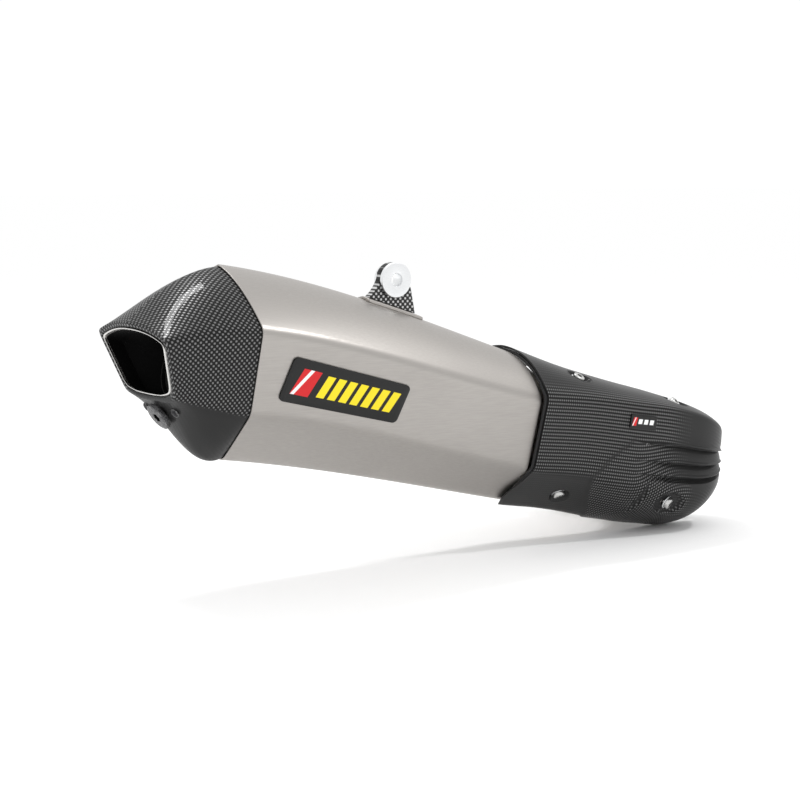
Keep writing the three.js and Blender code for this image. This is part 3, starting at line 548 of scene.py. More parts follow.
# %% Rubber and glass wool
def soft(name, colour, size, strength, roughness):
    made, tree, surface = new_material(name)
    spot = wire(tree, "ShaderNodeTexCoord").outputs["Object"]
    noise = wire(tree, "ShaderNodeTexNoise", {"Vector": spot, "Scale": size, "Detail": 5.0}).outputs[0]
    darker = tuple(c * 0.6 for c in colour[:3]) + (1.0,)
    tree.links.new(blend_colours(tree, noise, darker, colour), surface.inputs["Base Color"])
    tree.links.new(calc(tree, "MULTIPLY_ADD", noise, 0.15, roughness), surface.inputs["Roughness"])
    bump = wire(tree, "ShaderNodeBump", {"Height": noise, "Strength": strength, "Distance": 0.0004})
    tree.links.new(bump.outputs[0], surface.inputs["Normal"])
    return made


RUBBER = soft("Black rubber", (0.02, 0.02, 0.021, 1.0), 700.0, 0.2, 0.6)
WOOL = soft("Glass wool", (0.75, 0.6, 0.3, 1.0), 420.0, 0.9, 0.8)
print("soft materials ready")

# %% [markdown]
# ## Shared shaping steps
# `spun()` is a lathe: it turns an outline of radius and height once round an axis. `soften()`
# bevels every edge that turns sharply, because a truly sharp edge reflects nothing and looks
# like paper. `thicken()` gives a single skin its wall, `grow()` extrudes a row of edges, and
# `cut()` slices a mesh with a plane.


# %% Lathe, soften, thicken, grow, cut
def stand(point, axis):
    """The placement that puts a local Z axis along `axis`, with its foot on a drawing point."""
    turn = Vector((0.0, 0.0, 1.0)).rotation_difference(axis.normalized())
    return Matrix.Translation(at(point)) @ turn.to_matrix().to_4x4()


def spun(profile, point, axis, steps=64, into=None):
    bm = into or bmesh.new()
    verts = [bm.verts.new((radius * MM, 0.0, height * MM)) for radius, height in profile]
    edges = [bm.edges.new(pair) for pair in zip(verts, verts[1:])]
    if profile[0][0] > 0 and profile[-1][0] > 0:
        edges.append(bm.edges.new((verts[-1], verts[0])))
    before = set(bm.verts) - set(verts)
    bmesh.ops.spin(
        bm,
        geom=verts + edges,
        cent=(0.0, 0.0, 0.0),
        axis=(0.0, 0.0, 1.0),
        angle=2 * math.pi,
        steps=steps,
        use_merge=True,
    )
    made = [v for v in bm.verts if v not in before]
    bmesh.ops.remove_doubles(bm, verts=made, dist=1e-6)
    bmesh.ops.transform(bm, matrix=stand(point, axis), verts=[v for v in made if v.is_valid])
    return bm


def soften(bm, width, segments=2, degrees=35.0):
    bmesh.ops.recalc_face_normals(bm, faces=bm.faces)
    limit = math.radians(degrees)
    sharp = [e for e in bm.edges if len(e.link_faces) == 2 and e.calc_face_angle(0.0) > limit]
    bmesh.ops.bevel(
        bm,
        geom=sharp,
        offset=width * MM,
        affect="EDGES",
        segments=segments,
        profile=0.5,
        clamp_overlap=True,
        material=-1,
    )
    return bm


def thicken(bm, wall):
    bmesh.ops.recalc_face_normals(bm, faces=bm.faces)
    bmesh.ops.solidify(bm, geom=bm.faces[:], thickness=wall * MM)
    return bm


def only_verts(geometry):
    return [g for g in geometry if isinstance(g, bmesh.types.BMVert)]


def grow(bm, edges, move):
    """Extrudes edges, moves the copies by a vector in millimetres and returns them."""
    made = bmesh.ops.extrude_edge_only(bm, edges=edges)["geom"]
    moved = only_verts(made)
    bmesh.ops.translate(bm, vec=Vector(move) * MM, verts=moved)
    return [g for g in made if isinstance(g, bmesh.types.BMEdge) and all(v in moved for v in g.verts)]


def cut(bm, point, normal, geometry=None, clear_outer=False):
    """Slices a mesh with a plane, given in metres, and may clear what lies in front of it."""
    whole = geometry or bm.verts[:] + bm.edges[:] + bm.faces[:]
    bmesh.ops.bisect_plane(bm, geom=whole, plane_co=point, plane_no=normal, clear_outer=clear_outer)


def along_bore(distance):
    return OUTLET + BORE * distance


print("shaping steps ready")

# %% [markdown]
# ## The titanium sleeve
# The sleeve is sheet titanium folded and welded into a tapered six-sided tube. Four long
# curves guide it: the spine, the ridge, the lower ridge (or chine) and the keel. We sample a
# section every few millimetres, run down the outside and back up the inside, and close the
# loop, so the sheet has its real 1.2 mm wall. The rolled rims at both ends are extra rings.

# %% Body curves and the sleeve
BODY = {
    "spine": ((0, 0, 70.6), (83.33, 0, 57.9), (166.67, 0, 26.9), (250, 0, -2.8)),
    "ridge": ((0, 62.3, 28), (83.33, 60, 14.7), (166.67, 56.6, -17.3), (250, 53, -37.2)),
    "chine": ((0, 43.8, -33), (83.33, 41.6, -42), (166.67, 38.8, -74.7), (250, 36, -93.8)),
    "keel": ((0, 0, -72.4), (83.33, 0, -85), (166.67, 0, -106.2), (250, 0, -125.4)),
}
RIM = ((0.45, 0.0), (0.13, 0.13), (0.0, 0.45), (0.0, 0.75), (0.13, 1.07), (0.45, 1.2))


def body_ring(x):
    t = x / 250
    section = {name: bezier(rail, t) for name, rail in BODY.items()}
    section["roof"] = (mix(0.5, 0.66, t), mix(0.79, 0.97, t))
    section["belly"] = (0.5, 0.5)
    return ring(section, x)


def steps_between(first, last, count):
    return [mix(first, last, i / count) for i in range(count + 1)]


stations = steps_between(1.0, SLEEVE_LENGTH - 1.0, 56)
path = [(x, 0.0) for x in reversed(stations)]
path += [(x, depth) for x, depth in RIM]
path += [(x, SLEEVE_WALL) for x in stations[::2]]
path += [(SLEEVE_LENGTH - x, depth) for x, depth in reversed(RIM)]
sleeve = skin([inset(body_ring(x), depth) for x, depth in path], closes=True)
piece("sleeve", sleeve, TITANIUM, "silencer", ["outer_sleeve"])

# %% [markdown]
# ## The carbon end cap
# The cap carries on from the sleeve and closes down to a slanted, six-sided outlet. Its four
# guide curves turn inward faster and faster. At the outlet the laminate rolls into a thick lip
# and drops a few millimetres into the throat. Under the lower ridge the weave's painted glint
# fades out and the chin shows flat satin black, a painted shade for fibres that face the floor
# and catch no light.

# %% End cap
CAP = {
    "spine": ((0, 0, 70.6), (-28.3, 0, 68.7), (-51.8, 0, 51.6), (-71.9, 0, 33)),
    "ridge": ((0, 62.3, 28), (-22, 59.4, 28.5), (-46, 55, 27.2), (-68.9, 51.6, 23.5)),
    "chine": ((0, 43.8, -33), (-19, 41.8, -29.5), (-38, 39.4, -24.4), (-55.1, 37.5, -18.4)),
    "keel": ((0, 0, -72.4), (-27, 0, -79.5), (-37.6, 0, -38.5), (-53.4, 0, -23.5)),
}


def cap_section(s):
    section = {name: bezier(rail, s) for name, rail in CAP.items()}
    section["roof"] = (mix(0.5, 0.58, s), mix(0.79, 1.0, s))
    section["belly"] = (mix(0.5, 0.6, s), mix(0.5, 1.0, math.sqrt(s)))
    section["keel_round"] = mix(9.0, 16.0, s)
    return section


def cap_ring(s):
    return ring(cap_section(s), -72.0 * s)


def outlet_ring(drawn_in, depth):
    def lip_point(y, up):
        return Vector((-62.0, y, 2.55)) + OUTLET_UP * up + BORE * depth

    section = {
        "spine": lip_point(0, 32.2),
        "ridge": lip_point(51.6, 21),
        "chine": lip_point(37.5, -21.6),
        "keel": lip_point(0, -27.6),
        "roof": (0.58, 1.0),
        "belly": (0.6, 1.0),
        "round": 9.0,
        "keel_round": 16.0,
    }
    return inset(ring(section, -72.0 - drawn_in), drawn_in)


# painted shade: the weave fades out below the lower ridge, where the fibres face down and catch no light
def cap_weave_and_shade(girth, point, along):
    edge = mix(63.7, 44.3, min(max(-along / 72, 0.0), 1.0))
    return 1.0 - smooth(edge + 1.0, edge + 4.0, girth)


LIP_ROLL = ((0.35, -0.2), (1.1, -0.55), (2.2, -0.65), (3.2, -0.45), (4.0, 0.0), (4.45, 0.6), (LIP, 1.4))
shares = [i / 60 for i in range(1, 60)]
outside = [inset(body_ring(CAP_TONGUE), STAND_IN), inset(body_ring(0.0), STAND_IN)]
outside += [inset(cap_ring(s), STAND_IN * (1 - s)) for s in shares]
lip = [outlet_ring(*place) for place in LIP_ROLL] + [outlet_ring(LIP, 5.0), outlet_ring(2.84, 7.0)]
inside = [inset(cap_ring(s), STAND_IN * (1 - s) + CAP_WALL) for s in reversed(shares[:44:3])]
inside += [inset(body_ring(x), STAND_IN + CAP_WALL) for x in (0.0, CAP_TONGUE)]
cap = skin(outside + [cap_ring(1.0)] + lip + inside, closes=True, weave_and_shade=cap_weave_and_shade)
piece("end_cap_shell", cap, CAP_CARBON, "silencer", ["end_cap"], sharp=50.0)

# %% [markdown]
# ## Outlet liner and noise damper
# A thin pressed liner stands just proud of the carbon lip and shows as a bright line. Behind
# it the liner narrows from the six-sided mouth to the round core. Each point of the mouth is
# aimed at the circle and moves there along an eased path. The damper is a short lathe-turned
# tube that slides out along the bore.


# %% Outlet liner
def bore_ring(radius, distance, like, along):
    centre = along_bore(distance)
    circle = []
    for point, _, girth in like:
        spoke = point - centre
        angle = math.atan2(spoke.y, spoke.dot(BORE_UP))
        reach = Vector((0.0, math.sin(angle), 0.0)) + BORE_UP * math.cos(angle)
        circle.append((centre + reach * radius, along, girth))
    return circle


def between_rings(first, last, share):
    return [(mix(a, b, share), mix(u, w, share), g) for (a, u, g), (b, w, _) in zip(first, last)]


LINER_ROLL = ((4.9, -0.5), (5.05, -0.95), (5.4, -1.15), (5.75, -0.95), (5.9, -0.5))


def mouth_ring(drawn_in, depth):
    """An outlet ring whose distance along is its depth inside the mouth."""
    return [(point, depth, girth) for point, _, girth in outlet_ring(drawn_in, depth)]


outer_mouth = mouth_ring(4.9, 15.0)
inner_mouth = mouth_ring(5.9, 14.0)
outer_bore = bore_ring(22.2, 32.0, outer_mouth, 32.0)
inner_bore = bore_ring(22.2, 30.6, outer_mouth, 32.0)
eased = [smooth(0.0, 1.0, i / 14) * 0.5 + i / 28 for i in range(1, 14)]
outside = [outer_bore] + [between_rings(outer_mouth, outer_bore, share) for share in reversed(eased)]
outside += [outer_mouth]
inside = [mouth_ring(5.9, depth) for depth in (0.3, 2.0)] + [inner_mouth]
inside += [between_rings(inner_mouth, inner_bore, share) for share in eased] + [inner_bore]
liner = skin(outside + [mouth_ring(*place) for place in LINER_ROLL] + inside, closes=True)
piece("liner", liner, LINER_METAL, "silencer", ["outlet_liner"])

# %% Noise damper
DAMPER_START, DAMPER_END = 31.5, 123.5
DAMPER_BORE, DAMPER_TUBE, DAMPER_COLLAR = 12.8, 14.0, 19.4
profile = [(DAMPER_BORE, DAMPER_START), (DAMPER_COLLAR, DAMPER_START), (DAMPER_COLLAR, DAMPER_START + 3)]
profile += [(DAMPER_TUBE, DAMPER_START + 5), (DAMPER_TUBE, DAMPER_END - 10)]
profile += [(DAMPER_COLLAR, DAMPER_END - 6), (DAMPER_COLLAR, DAMPER_END), (DAMPER_BORE, DAMPER_END)]
damper = soften(spun(profile, OUTLET, BORE), 0.5)
piece("damper_tube", damper, SOOT_AND_SHADE_STEEL, "damper", ["noise_damper"])

# %% [markdown]
# ## Front cone and inlet pipe
# Ahead of the sleeve a formed cone gathers the six sides into a round pipe, which then turns a
# right angle towards the engine. The cone is another loft. The pipe starts as one circle of
# edges: extrude it forward, spin it a quarter turn round the bend's centre, extrude it again,
# and thicken the skin. A small spun bead stands in for the weld between the two.

# %% Front cone
first = inset(body_ring(SLEEVE_LENGTH + 1), STAND_IN)
PIPE_RADIUS = 25.0
last = bore_ring(PIPE_RADIUS, 408.0, first, 408.0)
shares = steps_between(0.0, 1.0, 28)
forward = [between_rings(first, last, (share + smooth(0.0, 1.0, share)) / 2) for share in shares]
outside = [inset(body_ring(SLEEVE_LENGTH - 8), STAND_IN)] + forward
inside = [inset(outline, 1.2) for outline in reversed(outside)]
piece("cone", skin(outside + inside, closes=True), TINTED, "silencer", ["front_cone"])

# %% Inlet pipe and weld
BEND_RADIUS = 65.0
bend_start = along_bore(416.0)
bend_centre = bend_start + Vector((0.0, BEND_RADIUS, 0.0))
pipe_end = bend_centre + BORE * BEND_RADIUS + Vector((0.0, 18.0, 0.0))


def swept_pipe(radius):
    bm = bmesh.new()
    bmesh.ops.create_circle(bm, segments=64, radius=radius * MM, matrix=stand(along_bore(408.3), BORE))
    rim = grow(bm, bm.edges[:], BORE * 7.7)
    verts = list({v for e in rim for v in e.verts})
    turned = bmesh.ops.spin(
        bm,
        geom=verts + rim,
        cent=at(bend_centre),
        axis=BORE_UP,
        angle=math.pi / 2,
        steps=28,
    )["geom_last"]
    grow(bm, [g for g in turned if isinstance(g, bmesh.types.BMEdge)], (0, 18, 0))
    return bm


pipe = soften(thicken(swept_pipe(PIPE_RADIUS), 1.2), 0.3)
piece("bend_pipe", pipe, TINTED, "silencer", ["inlet_pipe"])
bead = [(PIPE_RADIUS + 1.3 * math.sin(a), 1.9 * math.cos(a)) for a in steps_between(0.0, math.pi, 8)]
bead += [(PIPE_RADIUS - 0.1, -1.9), (PIPE_RADIUS - 0.1, 1.9)]
piece("cone_weld", spun(bead, along_bore(408.1), BORE), WELD, "silencer")

# %% [markdown]
# ## Slip socket and clamp
# The pipe ends in a slotted socket that slides over the header pipe and is squeezed by a
# clamp. The slots are cut by bisecting the tube beside each slot and deleting the strip in
# between. The clamp is one steel strap bent round and down into two ears: lay its path as
# edges, extrude the path sideways, give the strap its thickness, and bolt the ears together.


# %% Socket
def slotted_tube(radius, low, high, depth, half):
    bm = bmesh.new()
    bmesh.ops.create_circle(bm, segments=96, radius=radius * MM)
    grow(bm, bm.edges[:], (0, 0, high - low))
    for side in (-1, 1):
        cut(bm, (side * half * MM, 0, 0), (1, 0, 0))
    for side in (-1, 1):
        cut(bm, (0, side * half * MM, 0), (0, 1, 0))
    cut(bm, (0, 0, (high - low - depth) * MM), (0, 0, 1))
    gone = []
    for face in bm.faces:
        middle = face.calc_center_median() / MM
        if middle.z > high - low - depth and min(abs(middle.x), abs(middle.y)) < half:
            gone.append(face)
    bmesh.ops.delete(bm, geom=gone, context="FACES")
    bmesh.ops.translate(bm, vec=(0, 0, low * MM), verts=bm.verts)
    return bm


socket = thicken(slotted_tube(26.8, -12.0, 22.0, 17.0, 1.2), 1.5)
bmesh.ops.transform(socket, matrix=stand(pipe_end, Vector((0, 1, 0))), verts=socket.verts)
piece("socket", soften(socket, 0.35), TINTED, "silencer", ["inlet_socket"])

# %% Clamp strap
STRAP_RADIUS = 28.7
STRAP_WIDTH = 16.0
clamp_centre = pipe_end + Vector((0, 13, 0))
bolt_height = -STRAP_RADIUS - 8.0
strap = bmesh.new()
opening = math.asin(4.1 / STRAP_RADIUS)
turn = steps_between(opening, 2 * math.pi - opening, 88)
arc = [(STRAP_RADIUS * math.sin(a), -STRAP_RADIUS * math.cos(a)) for a in turn]
line = [(5.5, -42.0), (5.5, -31.2), (4.9, -29.2)] + arc + [(-4.9, -29.2), (-5.5, -31.2), (-5.5, -42.0)]
verts = [strap.verts.new(at(clamp_centre + Vector((x, -STRAP_WIDTH / 2, z)))) for x, z in line]
edges = [strap.edges.new(pair) for pair in zip(verts, verts[1:])]
grow(strap, edges, (0, STRAP_WIDTH, 0))
bmesh.ops.recalc_face_normals(strap, faces=strap.faces)
if sum((f.calc_center_median() - at(clamp_centre)).dot(f.normal) for f in strap.faces) < 0:
    bmesh.ops.reverse_faces(strap, faces=strap.faces)
bmesh.ops.solidify(strap, geom=strap.faces[:], thickness=1.6 * MM)
soften(strap, 0.4)
bolt_centre = clamp_centre + Vector((0, 0, bolt_height))
for low, high in ((-3.8, -2.6), (2.6, 3.8)):
    spun([(3.3, low), (5.6, low), (5.6, high), (3.3, high)], bolt_centre, Vector((1, 0, 0)), 32, strap)
piece("clamp_strap", strap, STEEL, "clamp", ["clamp_band"])

# %% [markdown]
# ## Screws and nuts
# Every screw on the silencer is a round head with a six-sided key hole. Two circles make the
# top: a round rim and a hexagon, bridged into a flat collar. The hexagon is then extruded down
# and closed, and the round outline below it is spun.


# %% Hex key screws
def place_circle(bm, segments, radius, height):
    matrix = Matrix.Translation((0, 0, height * MM))
    made = bmesh.ops.create_circle(bm, segments=segments, radius=radius * MM, matrix=matrix)["verts"]
    return list({e for v in made for e in v.link_edges})


def key_screw(head, foot, seat, top, shank, key, point, axis, rim=0.7):
    bm = bmesh.new()
    collar = place_circle(bm, 48, head - rim, top)
    hexagon = place_circle(bm, 6, key, top)
    bmesh.ops.bridge_loops(bm, edges=collar + hexagon)
    bottom = grow(bm, hexagon, (0, 0, -min(2.4, (top - seat) * 0.7)))
    bmesh.ops.holes_fill(bm, edges=bottom)
    outline = [(head - rim, top), (head - 0.2, top - rim * 0.45), (head, top - rim), (head, seat)]
    outline += [(shank, seat), (shank, foot), (0.0, foot)]
    verts = [bm.verts.new((r * MM, 0.0, h * MM)) for r, h in outline]
    edges = [bm.edges.new(pair) for pair in zip(verts, verts[1:])]
    around = {"cent": (0, 0, 0), "axis": (0, 0, 1), "angle": 2 * math.pi, "steps": 48}
    bmesh.ops.spin(bm, geom=verts + edges, use_merge=True, **around)
    bmesh.ops.remove_doubles(bm, verts=bm.verts, dist=1e-6)
    bmesh.ops.transform(bm, matrix=stand(point, axis), verts=bm.verts)
    return bm


def hex_nut(flat, hole, low, high, point, axis):
    bm = bmesh.new()
    outer = place_circle(bm, 6, flat, high)
    inner = place_circle(bm, 32, hole, high)
    bmesh.ops.bridge_loops(bm, edges=outer + inner)
    bmesh.ops.solidify(bm, geom=bm.faces[:], thickness=(high - low) * MM)
    top = max(v.co.z for v in bm.verts)
    bmesh.ops.translate(bm, vec=(0, 0, high * MM - top), verts=bm.verts)
    soften(bm, 0.4)
    bmesh.ops.transform(bm, matrix=stand(point, axis), verts=bm.verts)
    return bm


SIDEWAYS = Vector((1, 0, 0))
bolt = key_screw(5.2, -14.2, 5.8, 10.8, 3.0, 2.9, bolt_centre, -SIDEWAYS)
piece("clamp_screw", bolt, STEEL, "clamp", ["clamp_bolt"])
nut = hex_nut(5.8, 3.3, 5.8, 10.8, bolt_centre, SIDEWAYS)
piece("clamp_hex_nut", nut, STEEL, "clamp", ["clamp_nut"])

# %% [markdown]
# ## The carbon heat guard
# The guard wraps the hot bend so that a boot can't touch it. It is a loft too, and its nose
# turns through a quarter circle in plan. Each station below gives the place along the body, the
# heights and half widths of spine, ridge, lower ridge and keel, and the depth of the gills. A
# smooth curve runs through the stations.

# %% Guard stations
# along, spine z, ridge y, ridge z, chine y, chine z, keel z, gill depth
GUARD_STATIONS = (
    (255, -0.6, 58.7, -36.5, 41.5, -94.5, -130, 0),
    (300, -17.2, 59, -41.5, 42, -104, -139, 0),
    (347, -31.5, 59.5, -48.8, 47, -114, -149.5, 0),
    (390, -43.5, 60, -56, 54, -121, -157.5, 3),
    (425, -54.5, 60, -66, 56, -124, -160, 3.4),
    (471, -72, 60, -86, 56, -116, -134, 2.4),
)


def guard_track(x):
    """A smooth run through the stations: slopes come from the neighbours on both sides."""
    rows = GUARD_STATIONS
    i = max(j for j in range(len(rows) - 1) if rows[j][0] <= x or j == 0)
    t0, t1 = rows[i][0], rows[i + 1][0]
    before = rows[i - 1] if i > 0 else rows[i + 1]
    after = rows[i + 2] if i + 2 < len(rows) else rows[i]
    lead = (t1 - t0) * 0.5 / (t0 - before[0])
    trail = (t1 - t0) * 0.5 / (after[0] - t1)
    p = (x - t0) / (t1 - t0)
    weights = (
        -lead * p**3 + 2 * lead * p**2 - lead * p,
        (1 + lead) * p**3 + (-1.5 - 2 * lead) * p**2 + (-0.5 + lead) * p + 1,
        (-1 - trail) * p**3 + (1.5 + trail) * p**2 + 0.5 * p,
        trail * p**3 - trail * p**2,
    )
    four = (before, rows[i], rows[i + 1], after)
    return [sum(w * row[k] for w, row in zip(weights, four)) for k in range(1, 8)]


print("guard at its rear edge:", [round(v, 1) for v in guard_track(GUARD_REAR)])

# %% [markdown]
# ## Gills
# Three gills step the guard's flank inward. Each is the same row of offsets, written against the
# share of the flank's height: a swell, a tight roll, a deep groove, and a long climb back to the
# surface. The gills fade in from the rear and narrow with the nose.

# %% Gill shape
GILL_EDGES = (0.43, 0.69, 0.9)
GILL_ROLL = (
    (-0.09, -0.25),
    (-0.055, -0.2),
    (-0.04, 0.0),
    (-0.028, 0.28),
    (-0.016, 0.42),
    (-0.006, 0.38),
    (0.0, 0.18),
    (0.005, -0.3),
    (0.01, -0.8),
    (0.015, -1.08),
    (0.022, -1.2),
    (0.034, -1.2),
    (0.046, -1.05),
    (0.072, -0.8),
)
GILL_DEPTH = 1.3
rolls = [(edge + share, depth) for edge in GILL_EDGES for share, depth in GILL_ROLL]
roll = [(0.0, 0.0), (0.25, 0.0)] + rolls + [(1.0, 0.0)]
filler = [i / 30 for i in range(1, 30) if min(abs(i / 30 - share) for share, _ in roll) > 0.012]


def gill_shape(share):
    for (a, low), (b, high) in zip(roll, roll[1:]):
        if a <= share <= b:
            return mix(low, high, (share - a) / (b - a))
    return 0.0


GILL_SHARES = sorted([share for share, _ in roll[1:-1]] + filler)


def guard_section(x):
    spine_z, ridge_y, ridge_z, chine_y, chine_z, keel_z, gill = guard_track(x)
    past = max(x - GUARD_NOSE, 0.0) / GUARD_RADIUS
    narrow = math.sqrt(max(1 - past * past, 0.0004))
    ahead = smooth(300, 385, x)
    depth = max(gill, 0.0) * narrow * GILL_DEPTH
    return {
        "spine": Vector((x, 0, spine_z)),
        "ridge": Vector((x, ridge_y * narrow, ridge_z)),
        "chine": Vector((x, chine_y * narrow, chine_z)),
        "keel": Vector((x, 0, keel_z)),
        "roof": (0.67, 0.97),
        "belly": (mix(0.5, 0.86, ahead), mix(0.5, 0.78, ahead)),
        "round": 5 * narrow,
        "keel_round": 9 * narrow,
        "steps": [(share, gill_shape(share) * depth) for share in GILL_SHARES],
        "detail": 3,
    }


print("gill rows:", len(GILL_SHARES))

# %% [markdown]
# ## Fold and cloth
# A shallow fold runs down the flank where a second layer of cloth begins. It is a slanting line,
# given by a few heights. The weave mask here is painted light and shade: it goes dark in a line
# along the fold as painted shade, and it fades the weave's painted glint on the roof, on the rear
# of the belly and round the nose. Towards the rear edge the belly reaches back a little and ends
# in a round corner. The tip of the nose is a narrow slot, so it is filled.

# %% Guard skin
FOLD = ((-70, 352), (-77, 346), (-90, 327), (-100, 318), (-107, 312), (-120, 318), (-131, 325), (-150, 338))


def line_x(line, z):
    """Where a slanting line, given as (z, x) pairs from the top down, passes at a height."""
    for (high, a), (low, b) in zip(line, line[1:]):
        if z >= low:
            return mix(a, b, min(max((high - z) / (high - low), 0.0), 1.0))
    return line[-1][1]


# painted light and shade for the guard: the weave's glint fades on the roof, the rear belly and the nose,
# and a dark line marks the fold
def guard_weave_and_shade(girth, point, along):
    roof = smooth(2.0, 16.0, -girth)
    past_fold = smooth(-2.0, 2.0, point.x - line_x(FOLD, point.z))
    # painted shade: the weave mask goes dark in a narrow line along the fold
    crease_shade = math.exp(-(((point.x - line_x(FOLD, point.z)) / 2.0) ** 2)) * smooth(-72.0, -80.0, point.z)
    belly = smooth(59.0, 66.0, girth) * (1 - past_fold)
    nose = smooth(376.0, 400.0, point.x) * smooth(-128.0, -112.0, point.z) + smooth(402.0, 412.0, point.x)
    return max(0.0, 1.0 - 0.9 * roof - 0.95 * belly - 0.9 * nose - crease_shade)


def guard_ring(x):
    """A guard outline; towards the rear edge the belly reaches back a little, with a round corner."""
    reach = 8.0 * (1 - smooth(GUARD_REAR, GUARD_REAR + 34, x))
    outline = []
    for point, along, girth in ring(guard_section(x), x):
        back = reach * math.exp(-(((girth - 98.0) / 20.0) ** 2))
        outline.append((point - Vector((back, 0, 0)), along - back, girth))
    return outline


turns = [GUARD_NOSE + GUARD_RADIUS * math.sin(math.radians(a)) for a in steps_between(3.0, 88.0, 34)]
stations = steps_between(GUARD_REAR, GUARD_NOSE, 92) + turns
guard = skin([guard_ring(x) for x in stations], weave_and_shade=guard_weave_and_shade)
tip = [e for e in guard.edges if len(e.link_faces) == 1 and e.verts[0].co.x > at((470, 0, 0)).x]
filled = bmesh.ops.holes_fill(guard, edges=tip)["faces"]
bmesh.ops.triangulate(guard, faces=filled)
bmesh.ops.recalc_face_normals(guard, faces=guard.faces)
print("guard skin:", len(guard.faces), "faces")

# %% [markdown]
# ## Fixings in the guard
# Four screws hold the guard to posts on the hot pipe. Each axis starts on the pipe and passes
# through a point of the skin. A ray along the axis tells us exactly where it leaves the guard.

# %% Places of the fixings
from mathutils.bvhtree import BVHTree


def bend_point(angle):
    forward, aside = BEND_RADIUS * math.sin(angle), BEND_RADIUS * math.cos(angle)
    return bend_centre + BORE * forward - Vector((0, aside, 0))


tree = BVHTree.FromBMesh(guard)
# a point the screw's axis passes through, the axis's start on the pipe, the dish's two radii
FIXINGS = {
    "rear_top": ((305, -34, -26), along_bore(363), (12.0, 8.8)),
    "front_top": ((404, -40, -51), bend_point(0.5), (12.0, 8.8)),
    "rear_low": ((298, -19, -121), along_bore(368), (9.4, 8.6)),
    "front_low": ((390, -46, -133), bend_point(0.4), (13.0, 12.0)),
}
fixings = {}
for name, (through, start, _) in FIXINGS.items():
    axis = (Vector(through) - start).normalized()
    hit = tree.ray_cast(at(start), axis)[0]
    fixings[name] = (hit / MM + HANGER, axis)

print("fixings:", sorted(fixings))

# %% [markdown]
# ## Lifting the fold, trimming the far side
# The second layer of cloth lies a millimetre proud, so the skin in front of the fold is lifted
# along its normals and sinks back over 60 mm. Then the side facing the wheel is trimmed off:
# one plane takes the far edge, and below a sloping line the guard ends near the keel.

# %% Fold and trimming
FOLD_LIFT = 1.3
LOW_EDGE = -3.0
guard.normal_update()
lifted = {}
for vert in guard.verts:
    spot = vert.co / MM + HANGER
    fold_x = line_x(FOLD, spot.z)
    tall = smooth(-72.0, -82.0, spot.z) * smooth(-152.0, -140.0, spot.z)
    rise = smooth(-1.2, 1.2, spot.x - fold_x) * (1 - smooth(10.0, 60.0, spot.x - fold_x))
    lifted[vert] = vert.normal * rise * tall * FOLD_LIFT * MM
for vert, lift in lifted.items():
    vert.co += lift
cut(guard, at((0, GUARD_FAR_EDGE, 0)), (0, 1, 0), clear_outer=True)
slope_point = at((GUARD_REAR, 0, -97))
cut(guard, slope_point, BORE_UP)
low = [f for f in guard.faces if (f.calc_center_median() - slope_point).dot(BORE_UP) < 0]
around = list({v for f in low for v in f.verts}) + list({e for f in low for e in f.edges}) + low
cut(guard, at((0, LOW_EDGE, 0)), (0, 1, 0), around)
gone = []
for face in guard.faces:
    middle = face.calc_center_median()
    if (middle - slope_point).dot(BORE_UP) < 0 and middle.y > LOW_EDGE * MM:
        gone.append(face)
bmesh.ops.delete(guard, geom=gone, context="FACES")
print("guard trimmed to", len(guard.faces), "faces")

# %% [markdown]
# ## Dishes and cooling slot
# Each screw sits in a dish that was moulded into the laminate, so no screw head stands proud. To
# sink a dish we refine the faces around it and push their vertices in along the screw's axis. A
# long narrow dish beside the front lower screw is the cooling slot. Last, the skin gets its wall:
# a copy of it is moved inward along the normals, which stays calm in the tight gills.

# %% Dishes, slot and wall
def dent(bm, centre, axis, length_way, long, short, depth, floor=0.7, lip=0.12):
    """Sinks an oval dish: faces near it are refined, then pushed in along the axis."""
    way = (length_way - axis * length_way.dot(axis)).normalized()
    side = axis.cross(way)

    def reach(co):
        spoke = co / MM + HANGER - centre
        if abs(spoke.dot(axis)) > 14:
            return 9.0
        return math.hypot(spoke.dot(way) / long, spoke.dot(side) / short)

    weave_and_shade = bm.verts.layers.float["weave_and_shade"]
    near = [e for e in bm.edges if min(reach(v.co) for v in e.verts) < 1.12 + 2.2 / short]
    bmesh.ops.subdivide_edges(bm, edges=near, cuts=3, use_grid_fill=True)
    for vert in bm.verts:
        away = reach(vert.co)
        if away < 1.15:
            sink = 1 - smooth(floor, 1.0, away)
            swell = lip * math.exp(-(((away - 1.04) / 0.06) ** 2))
            vert.co -= axis * (sink * depth - swell) * MM
            # painted shade: the weave dims towards the floor of each dish and of the slot
            vert[weave_and_shade] *= 1 - 0.9 * sink


DISH_DEPTH = 4.0
FORWARD = Vector((1, 0, -0.3))
for name, (point, axis) in fixings.items():
    dent(guard, point, axis, FORWARD, *FIXINGS[name][2], DISH_DEPTH)
SLOT_TOP, SLOT_FOOT = Vector((371.8, -51.8, -114.4)), Vector((361.2, -24.0, -143.5))
SLOT_MIDDLE, SLOT_AXIS = Vector((362.0, -43.3, -127.6)), Vector((0.0, -0.75, -0.6)).normalized()
dent(guard, SLOT_MIDDLE, SLOT_AXIS, SLOT_FOOT - SLOT_TOP, 19.0, 3.3, 2.4, 0.25, 0.3)
guard.normal_update()
grown = bmesh.ops.extrude_face_region(guard, geom=guard.faces[:], use_keep_orig=True)["geom"]
for vert in only_verts(grown):
    vert.co -= vert.normal * GUARD_WALL * MM
soften(guard, 0.3, 2, 84.0)
piece("guard_shell", guard, GUARD_CARBON, "silencer", ["heat_guard"], sharp=60.0)

